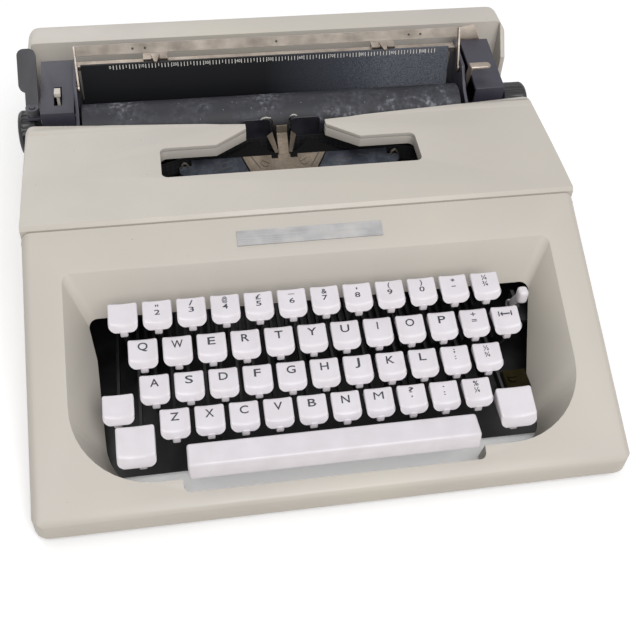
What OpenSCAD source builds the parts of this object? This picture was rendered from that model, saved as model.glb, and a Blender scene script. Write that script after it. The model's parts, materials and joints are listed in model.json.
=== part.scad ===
// Portable typewriter: moulded body, hinged ribbon cover, sliding carriage, jointed keys.
// Millimetres, +X right, +Y back, +Z up, origin under the middle of the machine on the table.
// Every y value below is counted from the body's front edge; from_front() moves it to the origin.

/* [Body] */
// Width of the moulded body
body_w = 334; // [328:1:344]
// Depth of the moulded body, front to back
body_d = 340; // [336:1:356]
// Wall thickness of the mouldings
wall = 3; // [2.6:0.1:3.4]
// Height of the rubber feet, which is the gap under the body
foot_h = 6; // [5:0.5:8]
// Height of the front wall above its lower edge
front_h = 12; // [11:0.5:13]
// Distance from the front edge to the crease below the ribbon cover
keyboard_d = 153.5; // [152:0.5:155]
// Height of that crease above the table
crease_z = 85; // [84:0.5:86]
// Corner radius of the body seen from above
corner_r = 9; // [7:0.5:12]
// Rounding along the upper edges of the body
edge_r = 6; // [5:0.5:7]
// Height of the body's side wall beside the carriage
bay_z = 58; // [56:0.5:58]
// Radius of a rubber foot
foot_r = 7; // [6:0.5:8]

/* [Keyboard] */
// Distance between neighbouring keys in a row
key_pitch = 19; // [18.8:0.1:19.1]
// Step back from one row to the next
row_step = 17.7; // [17:0.1:18.2]
// Rise from one row to the next
row_rise = 10.3; // [10:0.1:10.6]
// Distance from the front edge to the stub of the lowest row
row_y = 36.7; // [36:0.1:37.5]
// Height of that stub above the table
row_z = 28.2; // [28:0.1:29]
// Width of a key cap
cap_w = 16.3; // [15.5:0.1:17]
// Height of a key cap at its back
cap_h = 9.8; // [9:0.1:10.2]
// Depth of a key cap from its apron to its back
cap_d = 15.2; // [14.5:0.1:15.4]
// Thickness of a key lever
lever_t = 1.6; // [1.2:0.1:1.8]
// Height of a key lever's blade
lever_h = 6; // [5:0.25:6.5]
// Height of the lever pivot above the table
lever_z = 26; // [25.5:0.25:26.5]
// Radius of the lever pivot rod
pivot_r = 2.5; // [2:0.1:3]
// Half width of the keyboard well at the surface
well_w = 145; // [144:0.5:145.5]
// Length of the space bar
space_w = 162; // [150:1:163]
// Depth of the space bar
space_d = 17; // [15:0.5:18]
// Width of a shift key
shift_w = 21; // [18:0.5:21.5]
// Width of the bare plate above the keys
badge_w = 87; // [70:1:100]

/* [Ribbon cover] */
// Depth of the open bay that the carriage runs in, up to the wall behind it
bay_d = 74; // [73.5:0.25:75]
// Depth of the rear deck behind that wall
deck_d = 20; // [18:0.5:22]
// Height of the cover's rear edge above the table
cover_z = 91.5; // [91.5:0.1:92]
// Thickness of the cover's skin
cover_t = 2.2; // [2:0.1:2.4]
// Width of the slot over the type basket
slot_w = 163; // [150:1:168]
// Radius of a ribbon spool
spool_r = 21; // [18:0.5:22]
// Height of a ribbon spool
spool_h = 18; // [16.5:0.5:18.5]
// Number of type bars in the basket
type_bar_count = 44; // [30:1:44]

/* [Carriage] */
// Radius of the rubber platen
platen_r = 16; // [15.5:0.1:16]
// Height of the platen axis above the table
platen_z = 75; // [75:0.1:76]
// Left end of the platen from the middle of the machine
platen_left = 132; // [128:0.5:132]
// Right end of the platen from the middle of the machine
platen_right = 120; // [112:0.5:120]
// Radius of the platen shaft
shaft_r = 3; // [2.5:0.1:3.5]
// Radius of the platen knobs
knob_r = 14.5; // [12:0.25:14.5]
// Length of the left platen knob
knob_l = 12; // [10:0.5:12.5]
// Length of the right platen knob
right_knob_l = 17.5; // [15:0.5:18]
// Radius of a feed roller
roller_r = 4.5; // [4:0.1:4.6]
// Width of a carriage end cover
end_cover_w = 20; // [18:0.5:20]
// Radius of the carriage rods
rod_r = 3; // [2.5:0.1:3.2]
// Thickness of the carriage end plates
plate_t = 2; // [1.6:0.1:2.2]
// Length of the paper bail's arms
bail_arm = 26; // [26:0.1:27]
// Width of the paper bail's flat bar
bail_w = 6.4; // [5:0.1:6.6]
// Width of a margin stop
stop_w = 16; // [12:0.5:18]
// Length of the return lever, from its pivot to its tip
return_l = 44; // [38:0.5:48]

/* [Clearances] */
// Radial clearance of a running fit
run_fit = 0.05; // [0.02:0.01:0.1]
// Gap between parts that pass each other
pass_gap = 0.5; // [0.4:0.05:0.6]
// Gap of the seam round the ribbon cover
seam_gap = 1; // [0.9:0.05:1.2]

/* [Hidden] */
$fn = 64;
eps = 0.01;
far = 500;

// Heights and places that follow from the body
front_z = foot_h + front_h;
slope_a = atan((crease_z - front_z) / keyboard_d);
half_w = body_w / 2;
inner_w = half_w - wall;
cover_y0 = keyboard_d + seam_gap;
cover_y1 = body_d - deck_d - bay_d;
cover_d = cover_y1 - cover_y0;
cover_front_z = crease_z + 2.5;
cover_dip = 10.5;
hinge_y = cover_y1 - 6;
hinge_z = cover_z - 5.5;
hinge_pin_r = 1.5;
ear_r = 2.5;
cover_lip_z = hinge_z - (cover_y1 - hinge_y);
seam_z = cover_lip_z - 0.6;
slot_x = -2.5;
slot_y0 = cover_y0 + 0.388 * cover_d;
slot_y1 = slot_y0 + 0.295 * cover_d;
slot_wall_z = cover_lip_z + 1.5;
gap_half = 26;

// Frame plates and the holes in them
frame_t = 3;
frame_x = half_w - 18;
frame_z0 = foot_h + 2;
pan_y = 33;
pan_t = 0.8;
tab_x = half_w - 11;
tab_y = [24, body_d - 24];
screw_r = 1.6;

// Keyboard
row_count = [12, 12, 11, 10];
row_letters = ["", "qwertyuiop", "asdfghjkl", "zxcvbnm"];
row_shift = [0, 2, 3, 5];
row_sag = [0, 1.2, 1.2, 0];
lever_gap = key_pitch / 4;
key_x0 = -23.5 * lever_gap;
pivot_y = cover_y1 - 24;
stub_w = 4.4;
stub_h = 3.8;
cap_corner = 4;
cap_lean = 2;
cap_dish = 0.7;
hub_r = pivot_r + 2.5;
space_x = slot_x + 0.5;
space_y = 14;
space_z = 36;
notch_y = 9;
notch_r = 3.5;
slope_l = keyboard_d / cos(slope_a);
well_rear = slope_l - 26.5;
well_front = 17.5;
well_depth = 40;
well_left_depth = 23;
well_low_z = foot_h + 1.5;
well_floor_a = 10.2;
well_side_lean = 0.65;
well_rear_lean = 1.2;
well_front_lean = 0.165;
well_floor_rear = (well_rear - well_rear_lean * well_depth) / (1 - well_rear_lean * tan(well_floor_a));
well_floor_front = well_front - well_front_lean * well_depth;
basket_x = -4;
bracket_x = well_w - 36;
bracket_y = 58;
left_shift_x = key_x0 + lever_gap;
right_shift_x = key_x0 + 45 * lever_gap;
lock_x = key_x0 - 1.5 * lever_gap;
shift_y = 24;
shift_z = 27;
shift_d = 19.5;

// Carriage, all of it placed from the platen axis
platen_y = cover_y1 + platen_r;
plate_left = -platen_left - 2 - plate_t;
plate_right = platen_right + 4;
cover_left_x = plate_left - end_cover_w - 1;
cover_right_x = plate_right + plate_t + 3.5;
carriage_y0 = platen_y + 23;
carriage_y1 = platen_y + 40.5;
carriage_z = bay_z + pass_gap;
rod_y = [platen_y + 27, platen_y + 37];
rod_z = bay_z - 5;
roller_y = platen_y + 17.7;
roller_z = platen_z - sqrt(pow(platen_r + roller_r + 0.3, 2) - pow(17.7, 2));
roller_shaft_r = 2;
bail_y = platen_y + 16;
bail_z = platen_z + 21;
bail_up_a = 67.4;
rack_y0 = platen_y + 30;
rack_y1 = rack_y0 + 6;
rack_z0 = platen_z + 25;
rack_z1 = rack_z0 + 3;
stop_left_x = 50 - platen_left;
stop_right_x = platen_right - 47;
end_front_z = platen_z + 21;
end_rear_z = platen_z + 28;
end_y0 = platen_y - 10;
end_y1 = platen_y + 39;
lever_pin_x = cover_left_x - 5;
lever_pin_y = platen_y - 4;
lever_tab_z = platen_z + knob_r + 0.5;
release_x = plate_right + plate_t + 0.6;
release_y = platen_y + 8;
release_z = platen_z + 9;
release_top = platen_z + 31;
selector_x = cover_left_x + 11;
selector_y = platen_y + 6;
selector_z = platen_z + 7;
deck_y0 = carriage_y1 + 2;
deck_y1 = cover_y1 + bay_d;
deck_z = 104.6;
drum_x = -95;
selector_pin_r = 1.5;
colour_x = 119.2;
colour_y = 104;
colour_z = 41;
drum_y = platen_y + 38;
drum_r = 18;
drum_z = lever_z - 1;

// Type basket: a fan in one tilted plane round the printing point
fan_y = platen_y - platen_r - 2;
fan_z = platen_z + 5;
fan_tilt = 32;
fan_half = 65;
segment_r0 = 18;
segment_r1 = 42;
segment_t = 5;
bar_r1 = 86;
spool_x = 122;
spool_y = cover_y0 + 0.41 * cover_d;
spool_z = bay_z - 1;
ribbon_z0 = spool_z + 5;
ribbon_h = 11;
ribbon_t = 0.6;
ribbon_y = platen_y - platen_r - 2.7;

beige = "#c9c5bc";
white = "#eeebe8";
slate = "#4b4a57";
black = "#202024";
steel = "#9a958c";
tan_steel = "#b5a696";

// Moves a piece from front-edge coordinates to the origin under the machine's middle
module from_front() {
    translate([0, -body_d / 2, 0]) children();
}

// Extrudes a side view, drawn as (y, z), along X
module side_view(x0, x1) {
    translate([x0, 0, 0]) rotate([90, 0, 90]) linear_extrude(x1 - x0) children();
}

// Extrudes a front view, drawn as (x, z), along Y
module front_view(y0, y1) {
    translate([0, y1, 0]) rotate([90, 0, 0]) linear_extrude(y1 - y0) children();
}

// A round bar along X through (y, z)
module rod_x(x0, x1, y, z, r) {
    translate([x0, y, z]) rotate([0, 90, 0]) cylinder(r = r, h = x1 - x0);
}

// A box from its low corner to its high corner
module box(low, high) {
    translate(low) cube(high - low);
}

// A rectangle with round corners, from (x0, y0) to (x1, y1)
module round_rect(x0, y0, x1, y1, r) {
    translate([x0 + r, y0]) square([x1 - x0 - 2 * r, y1 - y0]);
    translate([x0, y0 + r]) square([x1 - x0, y1 - y0 - 2 * r]);
    for (x = [x0 + r, x1 - r])
        for (y = [y0 + r, y1 - r])
            translate([x, y]) circle(r);
}

// Plan of the whole body, drawn in by inset all round
module body_plan(inset) {
    round_rect(-half_w + inset, inset, half_w - inset, body_d - inset, corner_r - inset);
}

// Frame of the keyboard's sloping surface: x along the machine, y up the slope, z out of it
module on_slope() {
    translate([0, 0, front_z]) rotate([slope_a, 0, 0]) children();
}

// Side view of the sloping front, drawn in by inset, with a round nose at the front edge
module front_profile(inset) {
    drop = inset / cos(slope_a);
    nose_r = edge_r - inset;
    nose = nose_r / tan(45 + slope_a / 2);
    top = front_z - drop + inset * tan(slope_a);
    low = inset > 0 ? -far : foot_h;
    rear = keyboard_d - inset;
    turn = 90 - slope_a;
    arc = [for (i = [0 : 8]) 180 - turn * i / 8];
    polygon(concat([[inset, low]],
        [for (a = arc) [inset + nose_r + nose_r * cos(a), top - nose + nose_r * sin(a)]],
        [[rear, crease_z - drop - inset * tan(slope_a)], [rear, low]]));
}

// Solid sloping front of the body, drawn in by inset
module front_block(inset) {
    intersection() {
        side_view(-body_w, body_w) front_profile(inset);
        translate([0, 0, -far]) linear_extrude(2 * far) body_plan(inset);
        on_slope() front_view(-far, far)
            round_rect(-half_w + inset, -far, half_w - inset, -inset, edge_r - inset);
    }
}

// One outline of the keyboard well, with large front corners and small rear ones
module well_outline(w_front, w_rear, front, rear, r_front, r_rear) {
    hull() {
        for (x = [-w_front + r_front, w_front - r_front])
            translate([x, front + r_front]) circle(r_front, $fn = 48);
        for (x = [-w_rear + r_rear, w_rear - r_rear])
            translate([x, rear - r_rear]) circle(r_rear, $fn = 32);
    }
}

// Half width of the well's sloping floor at v up the slope
function well_half(v) = well_w - well_side_lean * (well_depth - v * tan(well_floor_a));

// The funnel of the keyboard well, grown outwards by grow
module well_funnel(grow) {
    on_slope() hull() {
        translate([0, 0, grow > 0 ? -1 : 0.4]) linear_extrude(1)
            well_outline(well_w + grow, well_w + grow, well_front - grow, well_rear + grow,
                45 + grow, 5 + grow);
        translate([0, 0, -well_depth]) rotate([well_floor_a, 0, 0]) linear_extrude(eps)
            well_outline(well_half(well_floor_front) + grow, well_half(well_floor_rear) + grow,
                well_floor_front - grow, well_floor_rear / cos(well_floor_a) + grow, 30 + grow, 5 + grow);
    }
}

// Walls of the well: deep at the right, shorter at the left, all clear of the base pan
module well_walls() {
    left = 100 - well_w;
    intersection() {
        well_funnel(wall);
        box([-far, 0, well_low_z], [far, far, far]);
        union() {
            box([left - eps, 0, 0], [far, far, far]);
            on_slope() box([-far, -far, -well_left_depth], [left, far, far]);
        }
    }
}

// Opening in the front lip that the space bar stands in, grown outwards by grow
module bar_notch(grow) {
    reach = space_w / 2 + 3 + grow;
    rear = well_front + (grow > 0 ? grow : 12);
    corner = notch_r + grow;
    translate([space_x, 0, grow > 0 ? foot_h + 2 : -eps]) linear_extrude(front_z + 30) intersection() {
        round_rect(-reach, notch_y - grow, reach, rear + 2 * corner, corner);
        translate([-reach, 0]) square([2 * reach, rear]);
    }
}

// Upright with a pin that carries one rear corner of the ribbon cover
module hinge_ear() {
    x1 = inner_w - 3.4;
    side_view(x1 - 3, x1) {
        translate([hinge_y - ear_r, bay_z - 6]) square([2 * ear_r, hinge_z - bay_z + 6]);
        translate([hinge_y, hinge_z]) circle(ear_r);
    }
    box([x1 - 3, hinge_y - ear_r, bay_z - 6], [inner_w + 1, hinge_y + ear_r, bay_z - 1]);
    rod_x(x1 - 1, inner_w - 0.3, hinge_y, hinge_z, hinge_pin_r);
}

// Lower body: sloping keyboard surround, side walls, low rear wall
module body_shell() {
    color(beige) from_front() difference() {
        union() {
            difference() {
                front_block(0);
                front_block(wall);
                box([-inner_w, keyboard_d - 2 * wall, -far], [inner_w, far, crease_z - 10]);
            }
            intersection() {
                front_block(0);
                union() {
                    well_walls();
                    bar_notch(wall);
                }
            }
            intersection() {
                side_view(-half_w, half_w) polygon([[keyboard_d - wall, foot_h],
                    [keyboard_d - wall, seam_z], [hinge_y + 4.5, seam_z], [hinge_y + 4.5, bay_z],
                    [body_d, bay_z], [body_d, foot_h]]);
                linear_extrude(far) difference() {
                    body_plan(0);
                    body_plan(wall);
                }
            }
            for (s = [-1, 1])
                for (y = tab_y)
                    shell_boss(s, y);
            hinge_ear();
            mirror([1, 0, 0]) hinge_ear();
        }
        well_funnel(0);
        bar_notch(0);
        for (s = [-1, 1])
            for (y = tab_y)
                translate([s * tab_x, y, -1]) cylinder(r = screw_r, h = frame_z0 + 8);
    }
}

// Screw boss over a frame tab, joined to the side wall by a rib
module shell_boss(side, y) {
    top = y < keyboard_d ? front_z + (y - 5) * tan(slope_a) - 1 : bay_z - 8;
    translate([side * tab_x, y, frame_z0]) cylinder(r = 3.5, h = top - frame_z0);
    x = side * (tab_x + inner_w + 1) / 2;
    translate([x, y, (frame_z0 + top) / 2]) cube([inner_w + 1 - tab_x, 2, top - frame_z0], center = true);
}

// Rear housing behind the carriage, with a flat deck on top
module rear_deck() {
    slope_top = deck_z - 20;
    color(beige) from_front() difference() {
        intersection() {
            translate([0, 0, bay_z]) linear_extrude(far) body_plan(0);
            side_view(-half_w, half_w) polygon([[deck_y0, bay_z], [deck_y0, slope_top],
                [deck_y1 - 2, deck_z], [body_d, deck_z], [body_d, bay_z]]);
            front_view(0, body_d) round_rect(-half_w, -far, half_w, deck_z, edge_r);
        }
        box([-inner_w, 0, 0], [inner_w, deck_y1, far]);
        intersection() {
            translate([0, 0, -far]) linear_extrude(far + deck_z - wall) body_plan(wall);
            box([-far, deck_y1 + wall, 0], [far, far, far]);
        }
    }
}

// Lug on the frame that a screw and a rubber foot hold to the body
module frame_tab(side, y) {
    x0 = frame_x - eps;
    x1 = tab_x + 6;
    difference() {
        box([side > 0 ? x0 : -x1, y - 8, foot_h], [side > 0 ? x1 : -x0, y + 8, frame_z0]);
        translate([side * tab_x, y, 0]) cylinder(r = screw_r + 0.1, h = far);
    }
}

// Pressed steel chassis: side plates, cross bars, spool shelves, brackets
module base_frame() {
    bar_y = pivot_y + 9;
    shelf_z = spool_z - 2;
    color(black) from_front() difference() {
        union() {
            for (s = [-1, 1]) {
                x0 = s > 0 ? frame_x : -frame_x - frame_t;
                side_view(x0, x0 + frame_t) polygon([[12, foot_h], [12, foot_h + 6],
                    [keyboard_d - 4, bay_z - 1], [body_d - 8, bay_z - 1], [body_d - 8, foot_h]]);
                for (y = tab_y)
                    frame_tab(s, y);
                x1 = s > 0 ? spool_x - 12 : -frame_x;
                box([x1, spool_y - 12, shelf_z], [x1 + frame_x - spool_x + 12, spool_y + 12, shelf_z + 2]);
                translate([s * spool_x, spool_y, shelf_z]) cylinder(r = shaft_r, h = spool_h + 6);
            }
            box([-frame_x - eps, pan_y, foot_h], [frame_x + eps, body_d - 12, foot_h + pan_t]);
            box([-frame_x, bar_y, lever_z - 6], [frame_x, bar_y + 6, platen_z - 31]);
            box([-frame_x, body_d - 16, foot_h + 4], [frame_x, body_d - 12, bay_z - 18]);
            box([drum_x - 10, drum_y - 10, drum_z - 3], [drum_x + 10, body_d - 14, drum_z]);
            translate([drum_x, drum_y, drum_z - 3]) cylinder(r = shaft_r, h = 18);
            box([bracket_x, bracket_y, foot_h], [bracket_x + 2, bracket_y + 14, foot_h + 12]);
            box([bracket_x, bracket_y, foot_h + 10], [bracket_x + 15, bracket_y + 14, foot_h + 12]);
            box([colour_x + 2, colour_y - 6, colour_z - 10], [frame_x + eps, colour_y + 8, colour_z - 8]);
            box([colour_x + 2, colour_y - 6, colour_z - 10], [colour_x + 4, colour_y + 8, colour_z + 5]);
        }
        for (s = [-1, 1]) {
            x = s > 0 ? frame_x - 1 : -frame_x - frame_t - 1;
            rod_x(x, x + frame_t + 2, pivot_y, lever_z, pivot_r);
            for (y = rod_y)
                rod_x(x, x + frame_t + 2, y, rod_z, rod_r);
        }
        rod_x(colour_x, colour_x + 6, colour_y, colour_z, selector_pin_r + run_fit);
    }
}

// Rubber feet with a recess for the screw's head
module rubber_feet() {
    color(black) from_front() for (s = [-1, 1])
        for (y = tab_y)
            translate([s * tab_x, y, 0]) difference() {
                cylinder(r = foot_r, h = foot_h);
                translate([0, 0, -1]) cylinder(r = 3.4, h = foot_h - 2);
                cylinder(r = screw_r + 0.1, h = far);
            }
}

// Outline of the type slot and of the gap behind it, grown outwards by grow
module slot_outline(grow) {
    translate([slot_x, 0]) {
        round_rect(-slot_w / 2 - grow, slot_y0 - grow, slot_w / 2 + grow, slot_y1 + grow, 4 + grow);
        inner = gap_half + grow;
        outer = gap_half + 26 + 1.75 * grow;
        polygon([[-inner, slot_y1 + 14 + grow / 2], [-outer, slot_y1 - 4], [outer, slot_y1 - 4],
            [inner, slot_y1 + 14 + grow / 2], [inner, far], [-inner, far]]);
    }
}

// Plan of the ribbon cover, with its shallow V at the rear and the open type slot
module cover_plan() {
    r = 6;
    w = half_w;
    difference() {
        union() {
            polygon([[-w, cover_y0], [w, cover_y0], [w, cover_y1 - r], [w - r, cover_y1],
                [slot_x + gap_half, cover_y1 - cover_dip], [slot_x - gap_half, cover_y1 - cover_dip],
                [-w + r, cover_y1], [-w, cover_y1 - r]]);
            for (s = [-1, 1])
                translate([s * (w - r), cover_y1 - r]) circle(r);
        }
        slot_outline(0);
    }
}

// Wall that turns down from the skin along the rear and the ends of the type slot
module slot_wall() {
    intersection() {
        side_view(-slot_w, slot_w) polygon([[slot_y0 + 5, slot_wall_z], [far, slot_wall_z],
            [far, cover_front_z], [slot_y0 + 5, cover_front_z]]);
        linear_extrude(far) intersection() {
            cover_plan();
            slot_outline(cover_t);
        }
    }
}

// Side view of the cover, drawn in by inset and open below; its rear corner is round about the hinge
module cover_profile(inset) {
    low = inset > 0 ? 0 : cover_lip_z;
    fall = (cover_z - cover_front_z) / (cover_y1 - cover_y0);
    polygon([[cover_y0 + inset, low], [cover_y0 + inset, cover_front_z - 2 - inset],
        [cover_y0 + 2 + inset / 2, cover_front_z - inset], [far, cover_z - inset + (far - cover_y1) * fall],
        [far, inset > 0 ? low : hinge_z], [hinge_y, inset > 0 ? low : hinge_z], [hinge_y, low]]);
    if (inset == 0) translate([hinge_y, hinge_z]) circle(cover_y1 - hinge_y);
}

// Hinged ribbon cover: skin, front lip, side skirts and a bore at each rear corner
module ribbon_cover() {
    color(beige) from_front() difference() {
        union() {
            difference() {
                intersection() {
                    side_view(-half_w, half_w) cover_profile(0);
                    linear_extrude(far) cover_plan();
                    front_view(0, far) round_rect(-half_w, -far, half_w, cover_z + 0.01, edge_r - 2);
                }
                intersection() {
                    side_view(-inner_w, inner_w) cover_profile(cover_t);
                    front_view(0, far) round_rect(-inner_w, -far, inner_w, cover_z - cover_t, 2);
                }
            }
            slot_wall();
            for (s = [-1, 1]) {
                x0 = s > 0 ? inner_w - 3.1 : -inner_w - 1;
                rod_x(x0, x0 + 4.1, hinge_y, hinge_z, 3.8);
            }
        }
        rod_x(-inner_w, inner_w, hinge_y, hinge_z, hinge_pin_r + run_fit);
    }
}

// Bare metal plate on the sloping surface above the keys
module badge_plate() {
    color(steel) from_front() on_slope()
        box([-badge_w / 2, well_rear + 8, 0], [badge_w / 2, well_rear + 17.5, 0.8]);
}

// Steel rod that all the key levers turn on
module lever_rod() {
    color(steel) from_front() rod_x(-frame_x - frame_t, frame_x + frame_t, pivot_y, lever_z, pivot_r);
}

// Places a child in the fan's plane: y points away from the platen, z out of the plane
module on_fan() {
    translate([basket_x, fan_y, fan_z]) rotate([fan_tilt, 0, 0]) rotate([0, 0, 180]) children();
}

// Side view point of the fan's plane at radius r, sunk by depth below its face
function fan_point(r, depth) = [fan_y - r * cos(fan_tilt) + depth * sin(fan_tilt),
    fan_z - r * sin(fan_tilt) - depth * cos(fan_tilt)];

// Half-ring plate that the type bars hinge on, with its foot on the cross bar
module type_segment() {
    foot_y = pivot_y + 9;
    color(steel) from_front() {
        on_fan() translate([0, 0, -segment_t]) linear_extrude(segment_t) intersection() {
            difference() {
                circle(segment_r1);
                circle(segment_r0);
            }
            polygon([[0, 0], [far * tan(fan_half), far], [-far * tan(fan_half), far]]);
        }
        side_view(basket_x - 20, basket_x + 20) polygon([[foot_y, platen_z - 31], [foot_y + 6, platen_z - 31],
            fan_point(segment_r0 + 1, segment_t - 0.5), fan_point(segment_r0 + 9, segment_t - 0.5)]);
    }
}

// Fan of resting type bars with their type heads
module type_bars() {
    step = 2 * (fan_half - 3) / (type_bar_count - 1);
    color(steel) from_front() on_fan() for (i = [0 : type_bar_count - 1])
        rotate([0, 0, -fan_half + 3 + i * step]) {
            translate([-0.45, segment_r1, -3.5]) cube([0.9, bar_r1 - segment_r1, 3]);
            translate([-1.2, bar_r1 - 5, -4]) cube([2.4, 5, 5]);
        }
}

// Guide post at the printing point with two card plates beside it
module type_guide() {
    post_y = pivot_y + 9;
    plate_y = platen_y - platen_r - 1.6;
    color(tan_steel) from_front() translate([basket_x, 0, 0]) {
        difference() {
            side_view(-6, 6) polygon([fan_point(segment_r0 + 6, 0), fan_point(segment_r0 + 1, 0),
                [ribbon_y - 1, platen_z + 4], [ribbon_y - 1, platen_z + 11],
                [ribbon_y - 2.5, platen_z + 11], [ribbon_y - 3.5, platen_z + 4]]);
            box([-2, ribbon_y - 8, platen_z + 3], [2, ribbon_y + 4, far]);
        }
        for (s = [-1, 1])
            box([s > 0 ? 7 : -26, plate_y, platen_z - 14], [s > 0 ? 26 : -7, plate_y + 0.8, platen_z + 12]);
        box([-26, post_y + 5, platen_z - 16], [26, plate_y + 0.8, platen_z - 14]);
        box([-12, post_y + 6, platen_z - 36], [12, post_y + 7, platen_z - 14]);
    }
}

// A flanged ribbon spool on its shaft, with the wound ribbon between the flanges
module ribbon_spool(x) {
    color(black) from_front() translate([x, spool_y, spool_z + 0.2]) difference() {
        union() {
            cylinder(r = spool_r, h = 1.2);
            cylinder(r = spool_r - 5, h = spool_h);
            translate([0, 0, spool_h - 1.2]) cylinder(r = spool_r, h = 1.2);
        }
        translate([0, 0, -1]) cylinder(r = shaft_r + run_fit, h = far);
        for (a = [0, 120, 240])
            rotate([0, 0, a]) translate([9, 0, spool_h - 3]) cylinder(r = 3, h = far);
    }
}

// Inked ribbon from spool to spool past the printing point
module ribbon() {
    side_x = spool_x - 2;
    side_y = spool_y + spool_r - 5 + 0.3;
    color(black) from_front() translate([0, 0, ribbon_z0]) linear_extrude(ribbon_h)
        polygon([[-side_x, side_y], [-27, ribbon_y], [27, ribbon_y], [side_x, side_y],
            [side_x, side_y + ribbon_t], [27, ribbon_y + ribbon_t], [-27, ribbon_y + ribbon_t],
            [-side_x, side_y + ribbon_t]]);
}

// Mainspring drum that pulls the carriage along
module spring_drum() {
    color(steel) from_front() translate([drum_x, drum_y, drum_z + 0.2]) difference() {
        union() {
            cylinder(r = drum_r, h = 2);
            cylinder(r = drum_r - 2, h = 10);
            translate([0, 0, 8]) cylinder(r = drum_r, h = 2);
        }
        translate([0, 0, -1]) cylinder(r = shaft_r + run_fit, h = far);
        translate([9, 0, 6]) cylinder(r = 3, h = far);
    }
}

// The two round rods that the carriage runs on
module carriage_rods() {
    color(steel) from_front() for (y = rod_y)
        rod_x(-frame_x - frame_t, frame_x + frame_t, y, rod_z, rod_r);
}

// Side view of a carriage end plate
module end_plate_view() {
    polygon([[end_y0, platen_z - 9], [end_y0, platen_z + 9], [platen_y, platen_z + 14],
        [bail_y - 6, bail_z + 5], [rack_y1 + 1, rack_z1 + 2], [carriage_y1, platen_z - 4],
        [carriage_y1, carriage_z], [platen_y + 10, carriage_z]]);
}

// Moving carriage: deck, bearing blocks, end plates and the margin rack
module carriage_frame() {
    right_x = cover_right_x + 1;
    color(slate) from_front() difference() {
        union() {
            box([cover_left_x, carriage_y0, carriage_z],
                [cover_right_x + end_cover_w, carriage_y1, carriage_z + 3]);
            for (x = [-38, 18])
                box([x, carriage_y0, rod_z - 6], [x + 20, carriage_y1, carriage_z + eps]);
            for (x = [plate_left, plate_right])
                side_view(x, x + plate_t) end_plate_view();
            box([right_x, platen_y + 23, carriage_z], [right_x + plate_t, end_y1 - 2.5, platen_z + 10]);
            box([plate_left, rack_y0, rack_z0], [plate_right + plate_t, rack_y1, rack_z1]);
        }
        for (y = rod_y)
            rod_x(-far, far, y, rod_z, rod_r + run_fit);
        rod_x(-far, far, platen_y, platen_z, shaft_r + run_fit);
        rod_x(-far, plate_right + plate_t + 1, roller_y, roller_z, roller_shaft_r + run_fit);
        rod_x(-far, plate_right + plate_t + 1, bail_y, bail_z, 1.5 + run_fit);
        rod_x(plate_right - 1, plate_right + plate_t + 1, release_y, release_z, 1.5 + run_fit);
        rod_x(plate_left - 1, plate_left + plate_t + 1, selector_y, selector_z, selector_pin_r + run_fit);
    }
}

// Side view of an end cover, drawn in by inset, open below
module end_cover_view(inset) {
    low = inset > 0 ? 0 : carriage_z + 3;
    polygon([[end_y0 + inset, low], [end_y0 + inset, end_front_z - 1.2 * inset],
        [end_y1 - inset, end_rear_z - 1.2 * inset], [end_y1 - inset, low]]);
}

// Hollow end cover from x0 to x1, with its open side facing the carriage
module end_cover(x0, x1, open_low, open_high) {
    t = 2;
    difference() {
        side_view(x0, x1) end_cover_view(0);
        side_view(open_low ? x0 - 1 : x0 + t, open_high ? x1 + 1 : x1 - t) end_cover_view(t);
        rod_x(x0 - 1, x1 + 1, platen_y, platen_z, shaft_r + 1);
    }
}

// Left end cover, with the selector's slot and the return lever's pivot pin
module end_cover_left() {
    color(slate) from_front() difference() {
        union() {
            end_cover(cover_left_x, plate_left, false, true);
            box([lever_pin_x - 4, lever_pin_y - 4, lever_tab_z], [cover_left_x + 1, lever_pin_y + 4,
                lever_tab_z + 2]);
            translate([lever_pin_x, lever_pin_y, lever_tab_z]) cylinder(r = 2, h = 8);
        }
        box([selector_x - 2.5, selector_y - 9, platen_z + 12], [selector_x + 2.5, selector_y + 8, far]);
    }
}

// Right end cover over the bracket outside the release lever
module end_cover_right() {
    color(slate) from_front() end_cover(cover_right_x, cover_right_x + end_cover_w, true, false);
}

// Rubber platen on its steel shaft
module platen() {
    left = cover_left_x - 4 - knob_l;
    right = cover_right_x + end_cover_w + 1.5 + right_knob_l;
    color(black) from_front() {
        rod_x(-platen_left, platen_right, platen_y, platen_z, platen_r);
        rod_x(left + 3, right - 3, platen_y, platen_z, shaft_r);
    }
}

// One knob of this length with a rounded rim, turned about the shaft, its face towards +Z
module knob(length) {
    rim = 2.5;
    rotate_extrude() {
        translate([shaft_r, 0]) square([knob_r - shaft_r - rim, length]);
        translate([shaft_r, 0]) square([knob_r - shaft_r, length - rim]);
        translate([knob_r - rim, length - rim]) circle(rim);
        translate([0, length - 3]) square([shaft_r + 1, 3]);
    }
}

// The two platen knobs
module platen_knobs() {
    color(black) from_front() {
        translate([cover_left_x - 4, platen_y, platen_z]) rotate([0, -90, 0]) knob(knob_l);
        translate([cover_right_x + end_cover_w + 1.5, platen_y, platen_z]) rotate([0, 90, 0])
            knob(right_knob_l);
    }
}

// Carriage return lever, folded back: hub, arm and inclined paddle
module return_lever() {
    z = lever_tab_z + 2.3;
    tilt = 33;
    paddle_w = 11.8;
    half_t = 1.2;
    color(slate) from_front() translate([lever_pin_x, lever_pin_y, z]) difference() {
        union() {
            cylinder(r = 4.2, h = 5);
            rotate([tilt, 0, 0]) {
                translate([-4.2, 2, -half_t]) cube([8, 20, 2 * half_t]);
                translate([0, 0, -half_t]) linear_extrude(2 * half_t)
                    round_rect(3.8 - paddle_w, 15, 3.8, return_l, 4.5);
            }
        }
        translate([0, 0, -far / 2]) cylinder(r = 2 + run_fit, h = far);
        box([-20, -20, -20], [20, 60, 0]);
    }
}

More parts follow.
